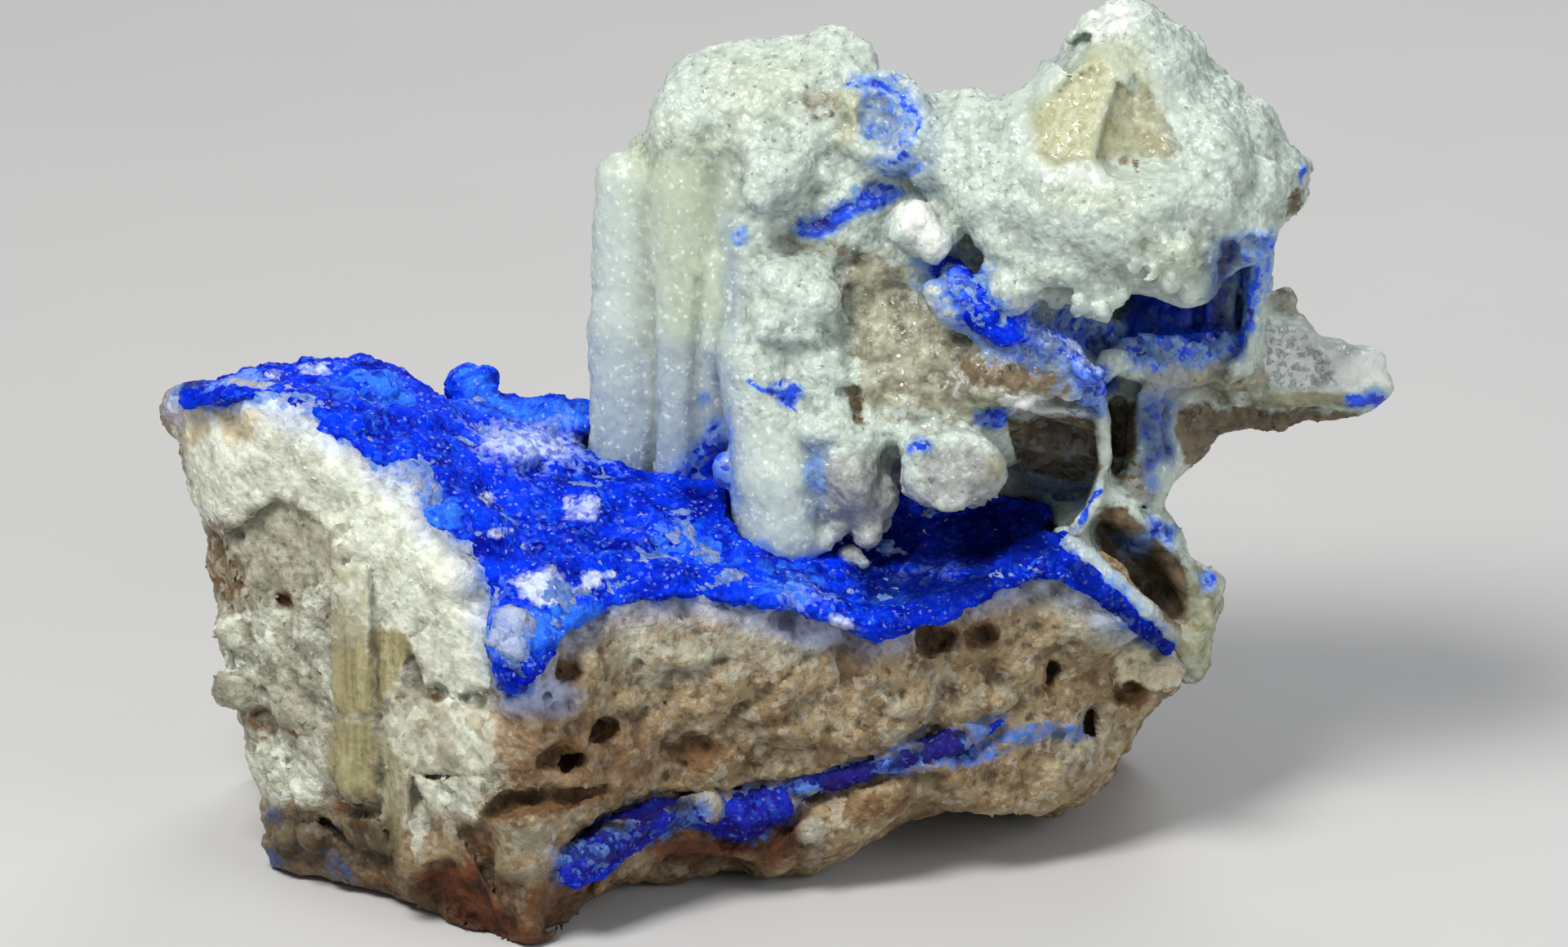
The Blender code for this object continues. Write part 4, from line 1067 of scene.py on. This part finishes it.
MASS_DABS = {
    "blue": [
        (970, 488, 16, 16), (945, 472, 22, 8, 0.7), (862, 487, 8, 10, 0.6), (910, 290, 12, 12, 0.6),
        (1125, 548, 20, 10, 0.8), (1215, 510, 26, 14, 0.8), (1000, 580, 14, 30, 0.45),
        (1590, 212, 10, 10, 0.8), (1480, 710, 12, 16, 0.8), (1350, 470, 20, 20, 0.8),
        (1100, 205, 40, 14, 0.5),
    ],
    "tan": [(1600, 490, 90, 10), (1470, 720, 26, 30, 0.6)],
    "brown": [(1040, 495, 12, 14, 0.8), (1372, 203, 8, 5, 0.6), (1385, 208, 6, 4, 0.6)],
    # Painted shade in small pits and holes
    "dark": [
        (1000, 150, 6, 5), (990, 106, 4, 3), (1020, 138, 4, 4), (1052, 310, 5, 10, 0.8), (1075, 320, 4, 4),
        (1042, 352, 4, 5), (1378, 668, 5, 5),
    ],
    "cool": [(1280, 60, 16, 30, 0.6), (1590, 180, 14, 30, 0.7)],
}
# The front of the ribbon between the open cells and the crust
RIBBON_EDGE = [(1308, 662), (1330, 680), (1362, 712), (1400, 742), (1440, 772)]
MASS_LINES = {
    "blue": [
        ([(1035, 105), (1070, 102), (1092, 112), (1106, 126), (1118, 138), (1124, 158), (1118, 182),
          (1096, 200)], 4, 0.9),
        ([(920, 470), (950, 482), (975, 503)], 4, 1),
        ([(1562, 295), (1535, 335), (1530, 395), (1500, 432)], 4, 1),
        ([(1350, 600), (1325, 636), (1300, 652)], 6, 0.95),
        ([(1295, 430), (1330, 445), (1345, 480)], 4, 1),
    ],
    "white": [(RIBBON_EDGE, 11, 0.3)],
    "cool": [(RIBBON_EDGE, 13, 0.55)],
    "amber": [([(798, 400), (799, 580)], 5, 0.3)],
}


def shape_columns(clay):
    """The fused columns on the left, and the finger in front of them."""
    clay.ridge([(760, 570), (762, 400), (768, 220)], 2.4, 2.0, 0.8)
    clay.ridge([(826, 570), (830, 400), (838, 230)], 2.2, 1.9, 0.8)
    clay.ridge([(869, 545), (874, 420), (880, 320)], 1.2, 1.0, 0.6)
    clay.ridge([(955, 655), (948, 590), (940, 510)], (3.2, 3.0, 2.4), 2.2, 0.8)
    clay.groove([(799, 600), (800, 500), (798, 360)], (0.4, 0.3, 0.2), 0.0, 0.8)
    clay.groove([(852, 590), (852, 500), (856, 350)], (0.3, 0.25, 0.15), 0.0, 0.8)
    clay.lumps(
        (850, 600, 30, 30, 1.6), (872, 625, 24, 26, 1.6), (890, 648, 18, 22, 1.6), (838, 615, 18, 18, 1.2),
        (886, 575, 14, 24, 0.8), (890, 606, 10, 22, 0.8),
    )


def shape_lumps(clay):
    """Drusy lumps in the middle, the open stalactite and the blue vug."""
    clay.lumps(
        (948, 215, 38, 34, 1.2), (930, 240, 20, 20, 0.9), (975, 205, 20, 20, 0.9), (962, 350, 46, 40, 1.3),
        (1000, 372, 34, 32, 1.3), (945, 385, 26, 24, 1), (1010, 215, 20, 26, 0.8), (1012, 528, 34, 24, 1.2),
        (940, 405, 14, 14, 0.8), (965, 414, 14, 13, 0.8), (992, 408, 16, 14, 0.8), (1020, 398, 14, 16, 0.7),
        (1118, 272, 30, 24, 1.2), (1098, 290, 16, 14, 0.8), (1140, 300, 20, 24, 1), (1160, 312, 9, 16, 0.7),
        (1045, 590, 28, 44, 1), (1076, 605, 22, 40, 0.9), (1025, 640, 16, 20, 0.9),
        (1150, 585, 46, 36, 1.2), (1195, 575, 40, 40, 1.2), (1125, 565, 22, 28, 0.8),
        (1165, 612, 30, 14, 0.9), (1040, 680, 20, 16, 1.2), (1010, 665, 12, 14, 1), (1062, 656, 18, 14, 1),
        (1058, 690, 10, 10, 0.8), (1028, 700, 10, 8, 0.6),
    )
    angles = np.linspace(-1.2, 2.6, 12)
    rim = [(1080 + 46 * math.cos(angle), 150 - 50 * math.sin(angle)) for angle in angles]
    clay.ridge(rim, 0.95, sink=0.5)
    clay.dents(
        (1072, 150, 34, 38, 1.1), (1030, 150, 16, 30, 0.6), (1074, 240, 34, 17, 0.55, 0.15),
        (1030, 257, 32, 13, 0.5, 0.15), (994, 277, 26, 9, 0.4, 0.15),
    )
    clay.lump(1014, 248, 18, 9, 0.7)
    clay.dents(
        (1180, 543, 22, 12, 0.6), (1035, 482, 18, 9, 0.8, 0.1), (1048, 500, 9, 18, 0.8, 0.1),
        (1045, 330, 26, 12, 0.6), (1140, 400, 26, 18, 0.4), (1100, 360, 30, 18, 0.5),
        (1080, 440, 26, 20, 0.5), (1280, 458, 50, 12, 0.7),
    )
    clay.groove([(920, 470), (950, 484), (975, 505)], (0.2, 0.3, 0.3), 0.1, 0.2)


def shape_head(clay):
    """The botryoidal head: its open, broken crystals, and the lobes along its lower edge."""
    clay.lump(1340, 140, 84, 80, 1.2, 0.8)
    clay.plates(
        (-0.25, (1262, 145), (1300, 105), (1340, 82), (1362, 104), (1334, 200), (1290, 208), (1264, 190)),
        (-0.7, (1363, 104), (1388, 118), (1378, 198), (1335, 200)),
        (-0.4, (1382, 95), (1404, 112), (1442, 190), (1425, 206), (1382, 206)),
        (-0.3, (1282, 68), (1328, 40), (1345, 62), (1306, 98)),
        (0.35, (1266, 210), (1332, 202), (1352, 214), (1334, 234), (1276, 234)),
    )
    clay.lumps(
        (1160, 288, 16, 18, 0.9), (1188, 316, 14, 18, 1), (1212, 332, 16, 14, 1), (1239, 342, 15, 14, 1),
        (1263, 348, 14, 13, 1), (1290, 366, 15, 16, 1), (1318, 374, 14, 17, 1), (1346, 380, 13, 17, 1),
        (1367, 362, 12, 18, 1), (1384, 326, 9, 14, 0.6), (1402, 332, 14, 18, 1), (1426, 346, 14, 17, 1),
        (1450, 360, 14, 17, 1), (1472, 350, 12, 20, 0.9), (1432, 308, 30, 26, 0.7),
        (1478, 308, 12, 20, 0.7), (1520, 290, 34, 8, 0.6), (1300, 320, 60, 34, 0.5),
        (1230, 290, 40, 40, 0.4), (1190, 170, 40, 50, 0.6), (1350, 402, 16, 24, 0.8),
        (1250, 180, 30, 40, 0.5), (1480, 200, 40, 50, 0.5), (1540, 230, 30, 40, 0.4),
    )
    clay.groove([(1393, 298), (1396, 330), (1396, 360)], (0.25, 0.4, 0.5), 0.0, 0.1)
    clay.groove([(1497, 302), (1498, 345)], 0.9, 0.7, 0.2)
    clay.groove([(1524, 300), (1556, 300)], 0.7, 0.3, 0.2)


def shape_cells(clay):
    """Thin walls around open cells, where the mass meets the block on the right."""
    crust = Clay("azurite_crust", pitch=0.5)
    bowl = [
        (1226, 510), (1250, 499), (1322, 499), (1347, 512),
        (1349, 578), (1330, 608), (1298, 613), (1260, 592),
    ]
    clay.face(bowl, -0.1, thick=7, fillet=0.6)
    clay.face(bowl, -1.1, thick=7, fillet=0.35, cut=True)
    clay.dent(1293, 552, 46, 44, 0.7)
    clay.groove([(1374, 500), (1374, 548)], (0.9, 0.8), 0.6, 0.2)
    clay.wall([(1494, 290), (1498, 340), (1494, 400)], 2.2, 1.4, 8.0, 0.5)
    clay.wall([(1504, 318), (1542, 346)], 2.4, 3.0, 8.0, 0.5)
    clay.ridge([(1236, 356), (1272, 372), (1316, 392), (1354, 414)], 1.6, 0.6, 0.5)
    clay.wall([(1376, 432), (1440, 426), (1500, 420)], 2.2, 0.6, 7.0, 0.8)
    clay.wall([(1345, 490), (1353, 560), (1346, 606), (1318, 650)], 0.9, -1.2)
    clay.wall([(1410, 485), (1408, 550), (1392, 600), (1352, 618)], 1.9, 0.0, 7.0, 0.5)
    clay.wall([(1350, 612), (1390, 644), (1430, 668), (1456, 712), (1474, 760)], 1.6, -0.6, 7.0, 0.5)
    ribbon = [(1306, 660), (1330, 678), (1362, 708), (1400, 740), (1436, 770)]
    ribbon_radius = 0.85
    lift = (0, 0, 0.75)
    on_crust = [crust.onto(across, down + 16, sink=0.35) + lift for across, down in ribbon]
    clay.rods(on_crust, ribbon_radius)
    trough = [(1352, 652), (1388, 690), (1424, 728), (1446, 752)]
    clay.groove(trough, (0.9, 1.1, 1.1, 0.6), 0.4, 0.15)
    clay.lumps(
        (1415, 640, 14, 12, 0.8), (1436, 668, 14, 12, 0.8), (1480, 720, 20, 24, 0.8),
        (1465, 800, 24, 40, 0.6), (1420, 580, 18, 30, 0.6), (1352, 452, 14, 14, 0.9), (1290, 498, 50, 8, 1),
        (1250, 492, 14, 8, 0.8), (1330, 488, 16, 8, 0.8), (1450, 440, 50, 30, 0.5),
        (1425, 520, 20, 30, 0.6), (1374, 440, 16, 12, 0.5), (1404, 446, 16, 14, 0.6),
        (1440, 438, 18, 14, 0.6), (1472, 430, 14, 14, 0.6), (1500, 426, 14, 18, 0.5),
    )
    for across, down in ((1252, 508), (1272, 514), (1296, 514), (1318, 510), (1338, 506)):
        clay.dent(across, down, 10, 6, 0.4)


def shape_spur(clay):
    """The broken spur on the right: a porous top, a smooth tip and thin layers underneath."""
    clay.lumps(
        (1665, 445, 38, 26, 0.7), (1575, 370, 20, 20, 0.5), (1560, 480, 30, 12, 0.7),
        (1640, 480, 40, 10, 0.5),
    )
    clay.plates(
        (-0.3, (1552, 390), (1588, 398), (1622, 436), (1640, 470), (1590, 478), (1554, 462)),
    )
    clay.groove([(1450, 500), (1540, 503), (1620, 508), (1690, 510)], 0.4, 0.1, 0.2)
    clay.groove([(1480, 524), (1560, 526), (1640, 522)], 0.35, 0.1, 0.2)
    clay.pits(26, (1552, 392, 1645, 472), sizes=(0.1, 0.18), seed=5)


def make_mass():
    """The pale mass, and the small crystals on its rough parts."""
    clay = Clay("pale_stalactites", pitch=0.38, blur=2)
    clay.cling("azurite_upper_seam", depth=0.12, fillet=1.5)
    shape_columns(clay)
    shape_lumps(clay)
    shape_head(clay)
    shape_cells(clay)
    shape_spur(clay)
    made = clay.mesh("stalactites")
    skin = Skin(made, clay, (*MASS_PATCHES, "crease"))
    skin.scatter(0.04, seed=2)
    skin.wander(warp=7, grain=1.6, seed=17)
    skin.paint(MASS_PATCHES, MASS_DABS, MASS_LINES)
    skin.ramp("cool", 725, 380, 905, 600, 0.95)
    skin.ramp("cool", 900, 540, 1000, 740, 0.6)
    skin.halo("blue", "azurite_upper_seam", reach=1.5, strength=0.62)
    skin.halo("blue", "azurite_crust", reach=0.7, strength=0.5)
    rough = 1 - 0.9 * skin.masks["smooth"]
    crease, own = granules(skin.points, size=1.0, seed=13)
    large, large_own = granules(skin.points, size=2.2, seed=53)
    lobes = 0.3 * (0.5 - large) + 0.15 * large_own + 0.22 * noise(skin.points, grain=2.6, seed=14)
    back = skin.broken_back(deep=1.4, size=6.5, seed=84)
    skin.push(rough * (0.16 - 0.3 * crease + 0.08 * own + lobes) + back)
    skin.paint_crease_shade(rounds=6, deep=0.2)
    weight = np.clip(1 - 1.05 * skin.masks["smooth"] - skin.masks["dark"] - skin.masks["blue"], 0, 1)
    weight = weight**2 * (skin.normals[:, 1] < 0.3)
    material = druse_material()
    crystals = skin.grow("druse_crystals", material, 1600, (0.12, 0.24), weight, seed=61, sink=0.07)
    skin.keep(material)
    for piece in (made, crystals):
        ride(piece, "pale_stalactites")


# The azurite

# Knobs and lobes along the crust's far edge, as lumps
CRUST_KNOBS = (
    (574, 476, 30, 27, 1.3), (596, 462, 16, 16, 0.8), (668, 508, 46, 26, 1), (700, 520, 30, 24, 0.8),
    (312, 470, 34, 18, 0.8), (400, 462, 48, 20, 0.8), (452, 476, 36, 22, 0.6), (500, 520, 40, 26, 0.5),
    (620, 560, 40, 24, 0.4), (560, 640, 40, 26, 0.4), (720, 640, 40, 26, 0.4), (420, 520, 36, 22, 0.4),
)
CRUST_PATCHES = {
    "white": [
        ([(575, 530), (640, 522), (705, 545), (690, 565), (600, 560)], 0.5, 10),
        ([(635, 712), (672, 694), (706, 712), (680, 736), (645, 728)], 1, 6),
        ([(690, 612), (735, 612), (730, 636), (695, 634)], 0.6, 6),
    ],
    "lilac": [
        ([(560, 520), (700, 510), (760, 570), (640, 580)], 0.7, 14),
        ([(600, 735), (650, 740), (655, 800), (610, 800)], 0.6, 10),
    ],
    "sky": [
        ([(600, 490), (720, 490), (720, 530), (620, 520)], 0.8, 12),
        ([(605, 740), (700, 735), (760, 740), (700, 790), (610, 800)], 0.7, 12),
        ([(560, 440), (600, 440), (610, 500), (560, 500)], 0.7),
        ([(930, 690), (1010, 700), (1000, 740), (930, 730)], 0.6),
    ],
    # Painted shade over the crust's front and the recess above it, in the cavity's shadow
    "dark": [
        ([(990, 640), (1290, 610), (1300, 680), (1200, 700), (1060, 700)], 0.9, 14, 12),
        ([(1040, 690), (1200, 700), (1260, 680), (1200, 740), (1060, 742)], 0.88, 12),
        ([(1300, 680), (1330, 690), (1450, 800), (1420, 810), (1310, 712)], 0.75, 6),
        ([(1020, 715), (1200, 745), (1180, 752), (1030, 730)], 0.5, 6),
    ],
}
CRUST_DABS = {
    "white": [
        (600, 612, 12, 8, 0.8), (615, 648, 16, 8, 0.7), (1030, 760, 16, 14, 0.8), (340, 462, 12, 8, 0.7),
        (380, 450, 20, 8, 0.6),
    ],
    "lilac": [
        (660, 650, 60, 40, 0.12), (800, 650, 60, 30, 0.15), (290, 470, 40, 20, 0.6),
        (990, 720, 40, 40, 0.5), (1378, 765, 6, 6), (1410, 790, 8, 6), (1395, 776, 5, 5),
        (1150, 700, 80, 20, 0.4),
    ],
    "sky": [
        (480, 470, 40, 30, 0.7), (440, 480, 50, 60, 0.5), (290, 465, 40, 20, 0.5), (720, 760, 60, 30, 0.8),
        (540, 630, 30, 30, 0.7), (1080, 730, 60, 16, 0.3), (850, 670, 60, 30, 0.4),
    ],
    # Painted shade in small hollows
    "dark": [(715, 540, 14, 16, 0.7), (850, 610, 40, 14, 0.3)],
}
CRUST_LINES = {
    "white": [([(705, 722), (752, 700)], 6, 0.9)],
    # Painted shade along a crack
    "dark": [([(640, 742), (665, 765), (655, 800)], 3, 0.7)],
}
# The seams lie a little lower than their solids
SEAM_SWELL = -0.05
SEAM_PATCHES = {
    "sky": [
        ([(1130, 330), (1180, 340), (1170, 390), (1140, 370)], 0.5),
        ([(1250, 395), (1340, 410), (1360, 520), (1250, 440)], 0.6),
    ],
    "lilac": [
        ([(1120, 330), (1180, 340), (1170, 400), (1120, 400)], 0.6),
        ([(1245, 392), (1360, 410), (1370, 520), (1330, 520), (1245, 440)], 0.6),
    ],
    # Painted shade over the lower seam where it lies in the recess at the foot
    "recess_shade": [
        ([(670, 990), (870, 950), (1190, 880), (1200, 950), (900, 1040), (760, 1060), (670, 1090)], 0.5,
          16),
        ([(700, 1000), (780, 985), (860, 965), (872, 985), (790, 1006), (700, 1036)], 0.92, 12),
        ([(960, 940), (1060, 925), (1190, 880), (1190, 930), (1060, 985), (960, 990)], 0.8, 12),
    ],
    # Painted shade at the bottom of the recess
    "dark": [([(690, 1000), (870, 960), (880, 975), (700, 1020)], 0.6, 8)],
    "white": [
        ([(1262, 400), (1340, 416), (1354, 456), (1330, 452), (1270, 432)], 0.5, 6),
        ([(1150, 365), (1176, 372), (1172, 390), (1150, 386)], 0.5, 6),
        ([(672, 1040), (692, 1048), (690, 1075), (674, 1070)], 0.7, 6),
    ],
}
SEAM_LINES = {
    # Painted shade along a line
    "dark": [([(1262, 408), (1300, 426), (1336, 450), (1346, 490)], 3.5, 0.6)],
}


def make_azurite(node_name, name, material, swell, knobs, marks):
    clay = Clay(node_name, pitch=0.3, swell=swell)
    clay.lumps(*knobs)
    made = clay.mesh(name)
    skin = Skin(made, clay, ("white", "lilac", "sky", "recess_shade", "dark", "crease"))
    skin.scatter(0.04, seed=3)
    crease, own = granules(skin.points, size=1.4, seed=23)
    fine, fine_own = granules(skin.points, size=0.6, seed=43)
    lobes = 0.28 - 0.3 * crease + 0.15 * own + 0.25 * noise(skin.points, grain=2.4, seed=24)
    skin.push(lobes - 0.2 * fine + 0.1 * fine_own)
    skin.wander(warp=10, grain=1.2, seed=27)
    skin.paint(*marks)
    skin.paint_crease_shade(rounds=5, deep=0.18)
    skin.keep(material)
    ride(made, node_name)


def ride(piece, node_name):
    """Every piece rides the one body, and stands for a CAD node."""
    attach(piece, "root")
    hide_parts(node_name)


# The studio


def add_light(name, place, aim, size, power, colour=(1, 1, 1)):
    lamp = bpy.data.lights.new(name, "AREA")
    lamp.size = size
    lamp.energy = power
    lamp.color = colour
    made = placed(name, lamp)
    made.location = place
    made.rotation_euler = (Vector(aim) - Vector(place)).to_track_quat("-Z", "Y").to_euler()


def make_floor():
    half = 1.5
    corners = [(-half, -half, 0), (half, -half, 0), (half, half, 0), (-half, half, 0)]
    mesh = bpy.data.meshes.new("floor")
    mesh.from_pydata(corners, [], [(0, 1, 2, 3)])
    floor = placed("floor", mesh)
    paint = Paint("floor", 0.7)
    paint.colour = paint.mix((0.50, 0.50, 0.49), (0.54, 0.54, 0.53), paint.noise(40.0))
    mesh.materials.append(paint.finish())


def make_lights():
    world = bpy.data.worlds.new("studio")
    world.use_nodes = True
    background = world.node_tree.nodes["Background"]
    background.inputs["Color"].default_value = (0.9, 0.92, 1.0, 1)
    background.inputs["Strength"].default_value = 0.30
    bpy.context.scene.world = world
    middle, upper = (0, 0, 0.03), (0, 0, 0.04)
    add_light("key", (-0.16, -0.20, 0.40), middle, size=0.16, power=2.3, colour=(1.0, 0.98, 0.95))
    add_light("fill", (0.35, -0.30, 0.22), middle, size=0.3, power=0.75, colour=(0.95, 0.97, 1.0))
    add_light("rim", (0.10, 0.32, 0.30), upper, size=0.2, power=0.5)


def make_camera():
    """A long lens, so that the whole sheet fills the frame."""
    distance = 1.1
    sheet_depth = -2.0
    middle = Vector(seen(SHEET_WIDTH / 2, SHEET_FOOT / 2, sheet_depth) * METRES)
    back = Vector((0, -COS, SIN))
    lens = bpy.data.cameras.new("camera")
    lens.sensor_width = 36
    lens.lens = lens.sensor_width * distance / (SHEET_WIDTH * UNIT * METRES)
    lens.clip_start = 0.05
    lens.clip_end = 20
    made = placed("camera", lens)
    made.location = middle + back * distance
    made.rotation_mode = "QUATERNION"
    made.rotation_quaternion = (-back).to_track_quat("-Z", "Y")
    bpy.context.scene.camera = made


make_camera()
make_floor()
make_lights()
make_rock()
make_mass()
azurite = azurite_material()
crust_marks = (CRUST_PATCHES, CRUST_DABS, CRUST_LINES)
seam_marks = (SEAM_PATCHES, {}, SEAM_LINES)
make_azurite("azurite_crust", "blue_crust", azurite, 0.0, CRUST_KNOBS, crust_marks)
for seam in ("upper_seam", "lower_seam"):
    make_azurite("azurite_" + seam, seam, azurite, SEAM_SWELL, (), seam_marks)
bpy.context.scene.view_settings.view_transform = "Standard"

bpy.context.view_layer.update()
